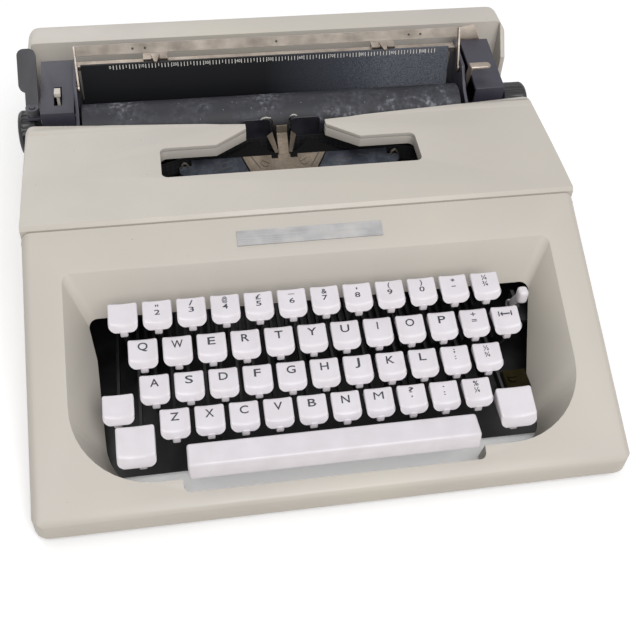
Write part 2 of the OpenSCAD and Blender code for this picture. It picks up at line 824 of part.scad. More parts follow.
// Side view of the paper table: pan under the platen, back sheet and top flange
module paper_table_view() {
    low_y = platen_y + 18;
    low_z = platen_z - 3;
    top_y = platen_y + 26.3;
    top_z = rack_z0 + 6;
    polygon([[low_y, low_z], [low_y + 1.5, low_z], [top_y + 0.2, top_z - 4], [rack_y0, top_z - 4],
        [rack_y0, top_z - 2.5], [top_y + 0.9, top_z - 2.5], [top_y + 1.5, top_z], [top_y, top_z]]);
}

// Black paper table behind the platen
module paper_table() {
    color(black) from_front() side_view(-platen_left + 1, platen_right - 2) paper_table_view();
}

// Paper bail, raised: a flat bar on two arms with pivot pins
module paper_bail() {
    arm_t = 1.2;
    bar_t = 1.4;
    arm_end = bail_arm + 1;
    left = -platen_left - 1.6;
    right = plate_right - 0.4;
    color(steel) from_front() {
        for (x = [left, right - arm_t])
            translate([x, bail_y, bail_z]) rotate([bail_up_a - 90, 0, 0]) side_view(0, arm_t) {
                translate([-2, 0]) square([4, arm_end]);
                circle(3);
            }
        translate([0, bail_y, bail_z]) rotate([bail_up_a - 90, 0, 0])
            box([left, -bar_t / 2, arm_end - bail_w], [right, bar_t / 2, arm_end]);
        rod_x(plate_left, left + 0.5, bail_y, bail_z, 1.5);
        rod_x(right - 0.5, plate_right + plate_t, bail_y, bail_z, 1.5);
    }
}

// Feed rollers pressed against the platen, on one shaft
module feed_rollers() {
    color(black) from_front() {
        rod_x(plate_left, plate_right + plate_t, roller_y, roller_z, roller_shaft_r);
        for (x = [-105, -30, 45])
            rod_x(x, x + 45, roller_y, roller_z, roller_r);
    }
}

// Paper release lever at the right end, with a bent finger tab
module release_lever() {
    color(tan_steel) from_front() {
        side_view(release_x, release_x + 1.5) {
            polygon([[release_y - 3, release_z], [release_y + 3, release_z], [release_y - 4, release_top],
                [release_y - 10, release_top]]);
            translate([release_y, release_z]) circle(3.5);
        }
        box([release_x, release_y - 10, release_top - eps],
            [release_x + 14, release_y - 4, release_top + 1.4]);
        rod_x(plate_right, release_x + 0.5, release_y, release_z, 1.5);
    }
}

// Line spacing selector in the left end cover
module spacing_selector() {
    color(white) from_front() translate([selector_x, selector_y, selector_z]) {
        side_view(-1, 1) {
            translate([-2, 0]) square([4, 17]);
            circle(3);
        }
        box([-2, -3, 17 - eps], [2, 3, 20]);
        rod_x(0, plate_left + plate_t - selector_x, 0, 0, selector_pin_r);
    }
}

// A margin stop that rides on the rack, with a pointer over the scale
module margin_stop(x) {
    color(tan_steel) from_front() translate([x, 0, 0]) {
        box([-stop_w / 2, rack_y0 + 0.5, rack_z1 + 0.2], [stop_w / 2, rack_y1 + 2, rack_z1 + 3]);
        box([-stop_w / 2, rack_y1 + 0.2, rack_z0 - 2], [stop_w / 2, rack_y1 + 2, rack_z1 + 3]);
        translate([0, 0, rack_z1 + 3.4]) linear_extrude(1.4)
            polygon([[-3, rack_y0 + 4], [3, rack_y0 + 4], [1, rack_y0 - 5], [-1, rack_y0 - 5]]);
        box([-3, rack_y0 + 0.5, rack_z1 + 2.5], [3, rack_y0 + 4, rack_z1 + 3.5]);
    }
}

// Side view of a key lever: hub on the rod, low blade, stem up to (key_y, key_z)
module lever_view(key_y, key_z) {
    low = lever_z - lever_h / 2;
    high = lever_z + lever_h / 2;
    stem = max(4, (key_z - lever_z) * 0.45);
    polygon([[pivot_y, low], [key_y + stem + 2, low], [key_y, key_z - 1], [key_y, key_z + 2.5],
        [key_y + 6, key_z + 2.5], [key_y + stem + 6, high], [pivot_y, high]]);
    translate([pivot_y, lever_z]) circle(hub_r);
}

// One lever at x, bored for the rod
module key_lever(x, key_y, key_z) {
    difference() {
        side_view(x - lever_t / 2, x + lever_t / 2) lever_view(key_y, key_z);
        rod_x(x - lever_t, x + lever_t, pivot_y, lever_z, pivot_r + run_fit);
    }
}

// A dished key cap that rises to the back, its stub's tip at the origin
module key_cap(w, d, h) {
    low = stub_h;
    lip = stub_h + 0.63 * h;
    top = stub_h + h;
    dish_r = 1.6 * w;
    rise = atan((top - lip) / (d - cap_lean - 2.2));
    difference() {
        intersection() {
            side_view(-w / 2, w / 2) polygon([[0, low], [cap_lean, lip - 1], [cap_lean + 1, lip],
                [d - 1.2, top], [d, top - 0.8], [d, low]]);
            front_view(-1, d + 1) intersection() {
                round_rect(-w / 2, low, w / 2, top, 1.5);
                round_rect(-w / 2, low, w / 2, low + 2 * h, cap_corner);
            }
        }
        translate([0, (d + cap_lean) / 2, (lip + top) / 2]) rotate([90 + rise, 0, 0])
            translate([0, dish_r - cap_dish, 0]) cylinder(r = dish_r, h = 3 * d, center = true);
    }
}

// Cap, stub and lever of the key in this row and column
module type_key(row, col) {
    x = key_x0 + (row_shift[row] + 4 * col) * lever_gap;
    y = row_y + (3 - row) * row_step;
    z = row_z + (3 - row) * row_rise - row_sag[row];
    color(white) from_front() union() {
        translate([x, y, z]) {
            key_cap(cap_w, cap_d, cap_h);
            translate([-stub_w / 2, 0, 0]) cube([stub_w, 6.5, stub_h + 1.5]);
        }
        key_lever(x, y + 1, z + 1.5);
    }
}

// Every key that isn't a letter: figures, signs, margin release and back space
module figure_keys() {
    for (row = [0 : 3])
        for (col = [len(row_letters[row]) : row_count[row] - 1])
            type_key(row, col);
}

// A wide cap on its own lever, with the cap's front lower edge at (y, z)
module wide_key(x, cap_x, y, z, size) {
    color(white) from_front() union() {
        translate([cap_x, y, z - stub_h]) key_cap(size[0], size[1], size[2]);
        translate([x - stub_w / 2, y + 2, z - 5]) cube([stub_w, 9, 8]);
        key_lever(x, y + 3, z - 4);
    }
}

// Left and right shift keys, joined below the pivot rod by a link bar
module shift_keys() {
    size = [shift_w, shift_d, cap_h + 4];
    wide_key(left_shift_x, left_shift_x - 2.8, shift_y, shift_z, size);
    wide_key(right_shift_x, right_shift_x + 1.5, shift_y, shift_z, size);
    color(steel) from_front() {
        for (x = [left_shift_x, right_shift_x])
            box([x - lever_t / 2, pivot_y - 2, lever_z - 14],
                [x + lever_t / 2, pivot_y + 2, lever_z - hub_r + 1]);
        box([left_shift_x, pivot_y - 2, lever_z - 14], [right_shift_x, pivot_y + 2, lever_z - 10]);
    }
}

// Shift lock key above the left shift key
module shift_lock() {
    wide_key(lock_x, lock_x + 1.2, shift_y + shift_d + 1, shift_z + 12, [shift_w - 4, cap_d, cap_h]);
}

// Space bar on two low arms that pass under all the rows
module space_bar() {
    low = foot_h + 6.5;
    high = low + 4;
    knee_y = row_y + 2 * row_step;
    arm_y = space_y + 10;
    arm_x = [key_x0 + 10.5 * lever_gap, key_x0 + 34.5 * lever_gap];
    color(white) from_front() {
        difference() {
            front_view(space_y, space_y + space_d)
                round_rect(space_x - space_w / 2, space_z - 10, space_x + space_w / 2, space_z, 2);
            side_view(-far, far) polygon([[space_y - 1, space_z + 1], [space_y - 1, space_z - 11],
                [space_y, space_z - 11], [space_y + 2.5, space_z - 1], [space_y + 4, space_z + 1]]);
            box([space_x - space_w / 2 + 2, space_y + 4, space_z - 11],
                [space_x + space_w / 2 - 2, space_y + space_d - 2, space_z - 2.5]);
        }
        for (x = arm_x)
            difference() {
                side_view(x - 0.6, x + 0.6) {
                    polygon([[arm_y, space_z - 2], [arm_y + 5, space_z - 2], [arm_y + 6, high],
                        [knee_y, high], [row_y + 3.6 * row_step, lever_z + 3], [pivot_y, lever_z + 3],
                        [pivot_y, lever_z - 3], [row_y + 3.8 * row_step, lever_z - 3], [knee_y, low],
                        [arm_y, low]]);
                    translate([pivot_y, lever_z]) circle(hub_r);
                }
                rod_x(x - 2, x + 2, pivot_y, lever_z, pivot_r + run_fit);
            }
    }
}

// Ribbon colour selector at the right end of the top row
module colour_selector() {
    color(white) from_front() {
        translate([colour_x, colour_y, colour_z]) {
            side_view(-1, 1) {
                polygon([[-2, 0], [3, 0], [-9, 23], [-14, 23]]);
                circle(4);
            }
            box([-3, -15.5, 17], [3, -8.5, 27]);
            rod_x(0, 4, 0, 0, selector_pin_r);
        }
    }
}

// Screws: one in each foot, two on the segment and one on the right bracket
module screws() {
    color(steel) from_front() {
        for (s = [-1, 1])
            for (y = tab_y)
                translate([s * tab_x, y, 0]) {
                    translate([0, 0, 1.5]) cylinder(r = 3, h = foot_h - 4.5);
                    cylinder(r = screw_r, h = frame_z0 + 6);
                }
        on_fan() for (a = [-28, 28])
            rotate([0, 0, a]) translate([0, 26.8, 0]) screw_head(2.8);
        translate([bracket_x + 5, bracket_y + 7, foot_h + 12]) screw_head(2.8);
    }
}

// Slotted screw head standing on the origin
module screw_head(r) {
    difference() {
        cylinder(r = r, h = 1.6);
        translate([-far, -0.4, 0.8]) cube([2 * far, 0.8, 2]);
    }
}

body_shell();
rear_deck();
base_frame();
rubber_feet();
ribbon_cover();
badge_plate();
lever_rod();
type_segment();
type_bars();
type_guide();
ribbon_spool(-spool_x);  // spool_left
ribbon_spool(spool_x);  // spool_right
ribbon();
spring_drum();
carriage_rods();
carriage_frame();
end_cover_left();
end_cover_right();
platen();
platen_knobs();
return_lever();
paper_table();
paper_bail();
feed_rollers();
release_lever();
spacing_selector();
margin_stop(stop_left_x);  // margin_stop_left
margin_stop(stop_right_x);  // margin_stop_right
space_bar();
shift_keys();
shift_lock();
colour_selector();
figure_keys();
screws();
for (row = [1 : 3])
    for (col = [0 : len(row_letters[row]) - 1])
        type_key(row, col);
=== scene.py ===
# %% [markdown]
# # A portable typewriter
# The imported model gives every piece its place, and this lesson gives it its looks. Each step says what
# a piece or a finish is on the real machine, how it could be made in Blender, and why this way was
# chosen. Lengths are in metres, because that is what Blender's scene uses.

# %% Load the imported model
import json
import math

import bmesh
import bpy
from mathutils import Matrix, Vector

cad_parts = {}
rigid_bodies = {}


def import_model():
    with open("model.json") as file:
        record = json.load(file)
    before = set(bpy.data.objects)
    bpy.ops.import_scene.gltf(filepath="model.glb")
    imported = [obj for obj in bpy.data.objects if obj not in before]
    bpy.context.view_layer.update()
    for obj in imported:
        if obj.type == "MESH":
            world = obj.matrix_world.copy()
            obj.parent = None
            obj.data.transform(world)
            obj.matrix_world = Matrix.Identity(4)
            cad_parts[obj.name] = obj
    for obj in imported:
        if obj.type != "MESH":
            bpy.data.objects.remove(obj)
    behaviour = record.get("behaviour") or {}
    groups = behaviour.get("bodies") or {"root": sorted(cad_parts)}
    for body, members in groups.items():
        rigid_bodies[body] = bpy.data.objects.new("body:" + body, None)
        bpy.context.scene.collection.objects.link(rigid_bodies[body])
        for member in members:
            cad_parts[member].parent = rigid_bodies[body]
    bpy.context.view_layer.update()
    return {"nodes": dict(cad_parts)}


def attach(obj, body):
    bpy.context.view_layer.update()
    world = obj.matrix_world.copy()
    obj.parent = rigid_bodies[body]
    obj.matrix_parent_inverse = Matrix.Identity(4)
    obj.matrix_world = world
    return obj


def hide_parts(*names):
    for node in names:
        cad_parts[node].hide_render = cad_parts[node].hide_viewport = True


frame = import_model()
nodes = frame["nodes"]

# %% [markdown]
# ## Places and colours
# The machine was measured in millimetres from its front edge. One helper turns such a place into a
# point of the scene. Colours are written as the eye sees them, in sRGB hex, and one function turns
# them into the linear light that shaders mix.

# %% Two helpers for places and colours
BODY_DEPTH = 340.0


def place(x, y, z):
    """A point in millimetres, with y counted from the front edge, as metres in the scene."""
    return Vector((x, y - BODY_DEPTH / 2, z)) / 1000


def colour(hex_code):
    parts = [int(hex_code[i:i + 2], 16) / 255 for i in (1, 3, 5)]
    return [c / 12.92 if c <= 0.04045 else ((c + 0.055) / 1.055) ** 2.4 for c in parts] + [1.0]


print("front left corner of the body:", place(-167, 0, 6))

# %% [markdown]
# ## How a finish is put together
# A finish is a Principled shader with a few patterns. One small function adds any node: it sets the
# node's properties, fills its inputs with values or links, and gives a colour ramp its stops. A Mix
# node has inputs of one name for each data type, so its colours go in by number, 6 and 7. Patterns
# are read in object coordinates, which are metres here, so a scale of 1000 / size makes a pattern of
# that size in millimetres.

# %% One function to add a node, one to begin a finish
def add(tree, kind, inputs=None, stops=(), **settings):
    node = tree.nodes.new("ShaderNode" + kind)
    for key, value in settings.items():
        setattr(node, key, value)
    for key, value in (inputs or {}).items():
        if isinstance(value, bpy.types.Node):
            value = next(socket for socket in value.outputs if socket.enabled)
        if isinstance(value, bpy.types.NodeSocket):
            tree.links.new(value, node.inputs[key])
        else:
            node.inputs[key].default_value = value
    for k, (position, hex_code) in enumerate(stops):
        spots = node.color_ramp.elements
        spot = spots[k] if k < len(spots) else spots.new(position)
        spot.position, spot.color = position, colour(hex_code)
    return node


def per_mm(size):
    return 1000.0 / size


def begin(name):
    """A new material, its node tree, and the coordinates that its patterns read."""
    material = bpy.data.materials.new(name)
    material.use_nodes = True
    material.node_tree.nodes.clear()
    return material, material.node_tree, add(material.node_tree, "TexCoord").outputs["Object"]


print("finishes can start")

# %% [markdown]
# ## Moulded ABS, beige
# The body was injection moulded in ABS and left unpainted. Such a surface has a very fine grain, a
# soft satin gloss, and after years of light a slight yellowing in patches. Small dark flecks are dirt
# in the grain. Grain of 0.6 mm is drawn a little coarser than the real one, or it wouldn't show.

# %% Beige moulding
beige, tree, where = begin("moulded_abs_beige")
patches = add(tree, "TexNoise", {"Vector": where, "Scale": per_mm(90), "Detail": 3.0})
aged = add(tree, "ValToRGB", {"Fac": patches},
           [(0.3, "#beb8b0"), (0.55, "#c2bcb3"), (0.75, "#c5bfb3")])
cells = add(tree, "TexVoronoi", {"Vector": where, "Scale": per_mm(14)})
fleck = add(tree, "MapRange", {"Value": cells, "From Min": 0.018, "From Max": 0.026,
                               "To Min": 1.0, "To Max": 0.0})
dirt = add(tree, "Mix", {0: fleck, 6: aged, 7: colour("#8d887c")}, data_type="RGBA")
smears = add(tree, "TexNoise", {"Vector": where, "Scale": per_mm(35), "Detail": 5.0})
gloss = add(tree, "MapRange", {"Value": smears, "From Min": 0.3, "From Max": 0.7,
                               "To Min": 0.36, "To Max": 0.5})
grain = add(tree, "TexNoise", {"Vector": where, "Scale": per_mm(0.6), "Detail": 1.0})
relief = add(tree, "Bump", {"Height": grain, "Distance": 0.000012})
shader = add(tree, "BsdfPrincipled", {"Base Color": dirt, "Roughness": gloss, "Normal": relief,
                                      "IOR": 1.53})
add(tree, "OutputMaterial", {"Surface": shader})
print("beige moulding ready")

# %% [markdown]
# ## Moulded ABS, white
# The key caps are the same plastic in white, polished by fingers. Handling leaves a faint grey bloom
# in patches of about a centimetre, and the gloss is higher than on the body.

# %% White keys
white, tree, where = begin("moulded_abs_white")
bloom = add(tree, "TexNoise", {"Vector": where, "Scale": per_mm(11), "Detail": 4.0})
tint = add(tree, "ValToRGB", {"Fac": bloom}, [(0.3, "#d6d1d5"), (0.5, "#dad5da"), (0.7, "#ddd9de")])
gloss = add(tree, "MapRange", {"Value": bloom, "From Min": 0.3, "From Max": 0.7,
                               "To Min": 0.42, "To Max": 0.3})
ripple = add(tree, "TexNoise", {"Vector": where, "Scale": per_mm(1.2), "Detail": 1.0})
relief = add(tree, "Bump", {"Height": ripple, "Distance": 0.00001})
shader = add(tree, "BsdfPrincipled", {"Base Color": tint, "Roughness": gloss, "Normal": relief,
                                      "IOR": 1.53})
add(tree, "OutputMaterial", {"Surface": shader})
print("white keys ready")

# %% [markdown]
# ## Printed ink
# Letters were printed and baked. The ink is a flat dark grey that has worn a little thin, so a fine
# pattern lets some of it look paler. The scale on the carriage is the same kind of ink in white.

# %% Dark and pale ink
def printed_ink(name, low, high):
    material, tree, where = begin(name)
    worn = add(tree, "TexNoise", {"Vector": where, "Scale": per_mm(0.8), "Detail": 2.0})
    tint = add(tree, "ValToRGB", {"Fac": worn}, [(0.35, low), (0.7, high)])
    rough = add(tree, "MapRange", {"Value": worn, "To Min": 0.4, "To Max": 0.65})
    shader = add(tree, "BsdfPrincipled", {"Base Color": tint, "Roughness": rough})
    add(tree, "OutputMaterial", {"Surface": shader})
    return material


ink = printed_ink("printed_ink_dark", "#1f1f26", "#3e3e48")
pale_ink = printed_ink("printed_ink_pale", "#b9b6b1", "#dcd9d3")
print("inks ready")

# %% [markdown]
# ## Painted steel
# The chassis and the carriage are pressed steel under baked paint: black inside, a dark blue-grey
# where it shows. The black of the base frame is partly its own paint and partly painted shade: under
# the keys a black pan closes the body, so the gaps between the keys show as dark as the shade beneath
# the machine. Baked paint has a soft ripple of about a millimetre, and dust dulls it in patches.
# The type segment is blackened with oil and soot, which leaves it almost no shine. One function makes
# them all, because only their colours and their gloss differ.

# %% Painted steel
def painted_steel(name, low, base, high, roughness, shine=0.5):
    material, tree, where = begin(name)
    dust = add(tree, "TexNoise", {"Vector": where, "Scale": per_mm(16), "Detail": 6.0})
    tint = add(tree, "ValToRGB", {"Fac": dust}, [(0.35, low), (0.5, base), (0.72, high)])
    rough = add(tree, "MapRange", {"Value": dust, "From Min": 0.3, "From Max": 0.7,
                                   "To Min": roughness - 0.06, "To Max": roughness + 0.14})
    peel = add(tree, "TexNoise", {"Vector": where, "Scale": per_mm(1.0), "Detail": 1.0})
    relief = add(tree, "Bump", {"Height": peel, "Distance": 0.000012})
    shader = add(tree, "BsdfPrincipled", {"Base Color": tint, "Roughness": rough, "Normal": relief,
                                          "Specular IOR Level": shine})
    add(tree, "OutputMaterial", {"Surface": shader})
    return material


black_steel = painted_steel("baked_paint_black", "#0c0b0c", "#131214", "#201f20", 0.42)
slate_steel = painted_steel("baked_paint_slate", "#2f2e38", "#363541", "#403f4a", 0.42)
card_steel = painted_steel("baked_paint_near_black", "#15151a", "#1b1a21", "#24232b", 0.45)
oiled_steel = painted_steel("oiled_steel_black", "#050505", "#09090a", "#111112", 0.8, shine=0.12)
print("painted steel ready")

# %% [markdown]
# ## Slate and black plastic
# The end covers, the knobs and the return lever are moulded with a spark-eroded texture: a fine, even
# grit that scatters highlights. Grit of 0.4 mm is drawn, a little coarser than the real one.

# %% Gritty mouldings
def gritty_plastic(name, low, base, high, roughness, depth):
    material, tree, where = begin(name)
    tone = add(tree, "TexNoise", {"Vector": where, "Scale": per_mm(22), "Detail": 4.0})
    tint = add(tree, "ValToRGB", {"Fac": tone}, [(0.3, low), (0.5, base), (0.72, high)])
    rough = add(tree, "MapRange", {"Value": tone, "To Min": roughness - 0.08,
                                   "To Max": roughness + 0.08})
    grit = add(tree, "TexVoronoi", {"Vector": where, "Scale": per_mm(0.4)})
    relief = add(tree, "Bump", {"Height": grit, "Distance": depth / 1000})
    shader = add(tree, "BsdfPrincipled", {"Base Color": tint, "Roughness": rough, "Normal": relief})
    add(tree, "OutputMaterial", {"Surface": shader})
    return material


slate = gritty_plastic("moulded_plastic_slate", "#2b2a35", "#31303b", "#3a3944", 0.52, 0.02)
grey_plastic = gritty_plastic("moulded_plastic_grey", "#343337", "#3b3a3e", "#444347", 0.5, 0.015)
black = gritty_plastic("moulded_plastic_black", "#0a0a0d", "#0f0f13", "#17171c", 0.42, 0.01)
print("gritty mouldings ready")

# %% [markdown]
# ## Platen rubber
# The platen is ground rubber. Paper dust and correction powder stick to it: pale specks, and cloudy
# scuffs in patches. Two noises, one broad and one fine, are multiplied for the scuffs, so that they
# gather in clouds. The feet are a plainer rubber with fine pores.

# %% Dusty rubber and foot rubber
rubber, tree, where = begin("ground_rubber_dusty")
broad = add(tree, "TexNoise", {"Vector": where, "Scale": per_mm(30), "Detail": 4.0})
fine = add(tree, "TexNoise", {"Vector": where, "Scale": per_mm(3.5), "Detail": 5.0})
clouds = add(tree, "MapRange", {"Value": broad, "From Min": 0.42, "From Max": 0.66})
scuffs = add(tree, "MapRange", {"Value": fine, "From Min": 0.38, "From Max": 0.72})
worn = add(tree, "Math", {0: clouds, 1: scuffs}, operation="MULTIPLY")
scuffed = add(tree, "ValToRGB", {"Fac": worn},
              [(0.0, "#17181f"), (0.35, "#35363e"), (0.9, "#83848a")])
dots = add(tree, "TexVoronoi", {"Vector": where, "Scale": per_mm(5)})
speck = add(tree, "MapRange", {"Value": dots, "From Min": 0.05, "From Max": 0.09,
                               "To Min": 0.6, "To Max": 0.0})
dusty = add(tree, "Mix", {0: speck, 6: scuffed, 7: colour("#a2a3a8")}, data_type="RGBA")
relief = add(tree, "Bump", {"Height": fine, "Distance": 0.00005})
shader = add(tree, "BsdfPrincipled", {"Base Color": dusty, "Roughness": 0.62, "Normal": relief})
add(tree, "OutputMaterial", {"Surface": shader})
foot_rubber, tree, where = begin("soft_rubber_black")
pores = add(tree, "TexNoise", {"Vector": where, "Scale": per_mm(0.7), "Detail": 2.0})
tint = add(tree, "ValToRGB", {"Fac": pores}, [(0.3, "#161618"), (0.7, "#262629")])
relief = add(tree, "Bump", {"Height": pores, "Distance": 0.00004})
shader = add(tree, "BsdfPrincipled", {"Base Color": tint, "Roughness": 0.75, "Normal": relief})
add(tree, "OutputMaterial", {"Surface": shader})
print("rubbers ready")

# %% [markdown]
# ## Paper table paint
# The sheet behind the platen is painted black. Dust has settled on it, thin at the left and thick at
# the right, as a fine speckle. The mix follows the X of the object coordinates, so it stays with the
# sheet.

# %% Dusty black sheet
sheet_paint, tree, where = begin("baked_paint_black_dusty")
along = add(tree, "SeparateXYZ", {"Vector": where})
thick = add(tree, "MapRange", {"Value": along, "From Min": -0.01, "From Max": 0.075})
speckle = add(tree, "TexNoise", {"Vector": where, "Scale": per_mm(0.7), "Detail": 2.0})
even = add(tree, "MapRange", {"Value": speckle, "From Min": 0.3, "From Max": 0.7, "To Min": 0.5})
settled = add(tree, "Math", {0: thick, 1: even}, operation="MULTIPLY")
tint = add(tree, "ValToRGB", {"Fac": settled},
           [(0.0, "#0b0c10"), (0.5, "#3a3d45"), (1.0, "#686b73")])
rough = add(tree, "MapRange", {"Value": settled, "To Min": 0.5, "To Max": 0.75})
shader = add(tree, "BsdfPrincipled", {"Base Color": tint, "Roughness": rough,
                                      "Specular IOR Level": 0.2})
add(tree, "OutputMaterial", {"Surface": shader})
print("paper table paint ready")

# %% [markdown]
# ## Bare and plated steel
# Drawn steel keeps fine scratches along its length. Plated parts are warmer, from a yellow-brown
# chromate, with darker blotches where it has worn. The scratches are a noise that is stretched along
# one axis.

# %% Steels
def plain_steel(name, dark, base, pale, roughness, stretch):
    material, tree, where = begin(name)
    drawn = add(tree, "Mapping", {"Vector": where, "Scale": stretch})
    lines = add(tree, "TexNoise", {"Vector": drawn, "Scale": per_mm(0.8), "Detail": 2.0})
    blotch = add(tree, "TexNoise", {"Vector": where, "Scale": per_mm(12), "Detail": 5.0})
    tint = add(tree, "ValToRGB", {"Fac": blotch}, [(0.3, dark), (0.5, base), (0.7, pale)])
    rough = add(tree, "MapRange", {"Value": lines, "From Min": 0.3, "From Max": 0.7,
                                   "To Min": roughness - 0.08, "To Max": roughness + 0.12})
    relief = add(tree, "Bump", {"Height": lines, "Distance": 0.000008})
    shader = add(tree, "BsdfPrincipled", {"Base Color": tint, "Metallic": 1.0, "Roughness": rough,
                                          "Normal": relief})
    add(tree, "OutputMaterial", {"Surface": shader})
    return material


steel = plain_steel("drawn_steel", "#8f8c86", "#aaa7a1", "#bdbab4", 0.36, (0.05, 1, 1))
tan_steel = plain_steel("chromate_plated_steel", "#857a70", "#988d83", "#a69c92", 0.48, (0.3, 1, 1))
bed_steel = plain_steel("sand_blasted_steel", "#554d44", "#665d53", "#776c60", 0.6, (1, 1, 1))
grey_steel = plain_steel("case_hardened_steel", "#24272c", "#34373d", "#4b4e55", 0.58, (1, 1, 0.2))
olive_steel = plain_steel("olive_chromate_steel", "#211d11", "#2d2818", "#3a3420", 0.58, (0.5, 1, 1))
bright = plain_steel("nickel_plated_steel", "#a09d98", "#b4b1ab", "#c4c1bb", 0.22, (1, 1, 0.2))
tan_bright = plain_steel("warm_nickel_steel", "#79716a", "#8c847b", "#9d948b", 0.36, (0.1, 1, 1))
plate = plain_steel("brushed_aluminium_sheet", "#959495", "#9f9e9e", "#a9a7a6", 0.6, (0.03, 1, 1))
print("steels ready")

# %% [markdown]
# ## Inked ribbon
# The ribbon is a fine nylon weave soaked in ink. Two crossed wave patterns make the threads, 0.5 mm
# apart; a real ribbon's are finer, but they wouldn't show.

# %% Ribbon weave
weave, tree, where = begin("inked_nylon_weave")
WAVES_PER_SCALE = 20
thread_scale = per_mm(0.5) / WAVES_PER_SCALE
warp = add(tree, "TexWave", {"Vector": where, "Scale": thread_scale}, bands_direction="X")
weft = add(tree, "TexWave", {"Vector": where, "Scale": thread_scale}, bands_direction="Z")
threads = add(tree, "Math", {0: warp, 1: weft}, operation="MULTIPLY")
tint = add(tree, "ValToRGB", {"Fac": threads}, [(0.0, "#0d0d10"), (1.0, "#232328")])
relief = add(tree, "Bump", {"Height": threads, "Distance": 0.00005})
shader = add(tree, "BsdfPrincipled", {"Base Color": tint, "Roughness": 0.7, "Normal": relief})
add(tree, "OutputMaterial", {"Surface": shader})
print("ribbon weave ready")

# %% [markdown]
# ## Which finish each carried-over node gets
# Nodes whose shape is already right keep their mesh and only get a finish. Pieces made further down
# stand for the other nodes.

# %% Finishes for the nodes
# The base frame's black is partly its paint and partly painted shade: its pan darkens the gaps between
# the keys.
finishes = {
    "base_frame": black_steel, "rubber_feet": foot_rubber, "badge_plate": plate, "lever_rod": steel,
    "type_segment": oiled_steel, "type_bars": grey_steel, "spool_left": black, "spool_right": black,
    "ribbon": weave, "spring_drum": steel, "carriage_rods": steel, "platen": rubber,
    "paper_table": sheet_paint, "feed_rollers": rubber, "screws": bed_steel,
}
for name, obj in nodes.items():
    obj.data.materials.clear()
    obj.data.materials.append(finishes.get(name, white))
print("finishes on", len(nodes), "nodes")

# %% [markdown]
# ## A soft loft for mouldings
# Key caps are moulded, so no edge of them is sharp. A cap is lofted here: a rounded side view is
# repeated across the width, and drawn in near both sides so that the side edges are round too.
# Subdivision could do it as well, but a loft keeps the real sizes exactly.

# %% Rounded outlines
def inset_outline(corners, inset):
    """The corners of a counter-clockwise outline, with every side moved inwards."""
    moved = []
    count = len(corners)
    for i in range(count):
        a, b, c = (Vector(corners[(i + k) % count]) for k in (-1, 0, 1))
        into, out = (b - a).normalized(), (c - b).normalized()
        into_n, out_n = Vector((-into.y, into.x)), Vector((-out.y, out.x))
        moved.append(b + (into_n + out_n) / (1 + into_n.dot(out_n)) * inset)
    return moved


def round_outline(corners, radii, steps=5):
    """Points of an outline whose corners are rounded."""
    points = []
    count = len(corners)
    for i in range(count):
        a, b, c = (Vector(corners[(i + k) % count]) for k in (-1, 0, 1))
        before, after = (a - b).normalized(), (c - b).normalized()
        half = before.angle(after) / 2
        reach = min(radii[i] / math.tan(half), (a - b).length * 0.49, (c - b).length * 0.49)
        radius = reach * math.tan(half)
        middle = b + (before + after).normalized() * math.hypot(reach, radius)
        start, end = b + before * reach - middle, b + after * reach - middle
        turn_by = start.angle_signed(end)
        for k in range(steps + 1):
            angle = turn_by * k / steps
            points.append(middle + Vector((start.x * math.cos(angle) + start.y * math.sin(angle),
                                           start.y * math.cos(angle) - start.x * math.sin(angle))))
    return points


print("a rounded square has", len(round_outline([(0, 0), (9, 0), (9, 9), (0, 9)], [2] * 4)), "points")

# %% The loft
SMALLEST_RADIUS = 0.12


def skin(bm, rings, material):
    """Faces between neighbouring rings, and one face at each end."""
    faces = [bm.faces.new(list(reversed(rings[0]))), bm.faces.new(rings[-1])]
    for near, away in zip(rings, rings[1:]):
        for k in range(len(near)):
            n = (k + 1) % len(near)
            faces.append(bm.faces.new((near[k], near[n], away[n], away[k])))
    for face in faces:
        face.material_index = material
        face.smooth = True


def loft(bm, corners, radii, x0, x1, edge, bend=None, material=0, inner=6, steps=5):
    """Repeats a side view, drawn as (y, z), from x0 to x1 with round side edges; bend moves points."""
    stations = [(x0 + edge * (1 - math.cos(t)), edge * (1 - math.sin(t)))
                for t in (math.radians(a) for a in (0, 22, 45, 68, 90))] if edge else [(x0, 0.0)]
    middle = [(x0 + edge + (x1 - x0 - 2 * edge) * k / inner, 0.0) for k in range(1, inner)]
    far_side = [(x0 + x1 - x, inset) for x, inset in reversed(stations)]
    rings = []
    for x, inset in stations + middle + far_side:
        drawn_in = [max(r - inset, SMALLEST_RADIUS) for r in radii]
        outline = round_outline(inset_outline(corners, inset), drawn_in, steps)
        points = [(x, p.x, p.y) for p in outline]
        rings.append([bm.verts.new(place(*(bend(*p) if bend else p))) for p in points])
    skin(bm, rings, material)


def finish_piece(name, bm, materials, body, stands_for=(), sharp=40):
    """Turns a bmesh into a piece that rides on a body and may stand for nodes of the model."""
    bmesh.ops.recalc_face_normals(bm, faces=bm.faces)
    mesh = bpy.data.meshes.new(name)
    bm.to_mesh(mesh)
    bm.free()
    for material in materials:
        mesh.materials.append(material)
    mesh.set_sharp_from_angle(angle=math.radians(sharp))
    piece = bpy.data.objects.new(name, mesh)
    bpy.context.scene.collection.objects.link(piece)
    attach(piece, body)
    if stands_for:
        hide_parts(*stands_for)
    print(name, len(mesh.vertices), "points")


print("loft ready")

# %% [markdown]
# ## Key caps
# Every cap has a short apron in front and a top that rises to the back and is dished for the finger.
# The lower corners of the apron are round. A small foot under the apron sits on the key lever.

# %% The cap's shape
STUB_H, CAP_LEAN, CAP_DISH, CAP_CORNER = 3.8, 2.0, 1.7, 5.6
APRON_SHARE, TOP_START, TOP_LOSS, DISH_DEPTH = 0.63, 1.0, 2.2, 2.5
PIVOT_Y, PIVOT_Z = 222.0, 26.0


def cap_lines(h):
    """The heights of the apron's edge and of the back of the top, above the stub's tip."""
    return STUB_H + APRON_SHARE * h, STUB_H + h


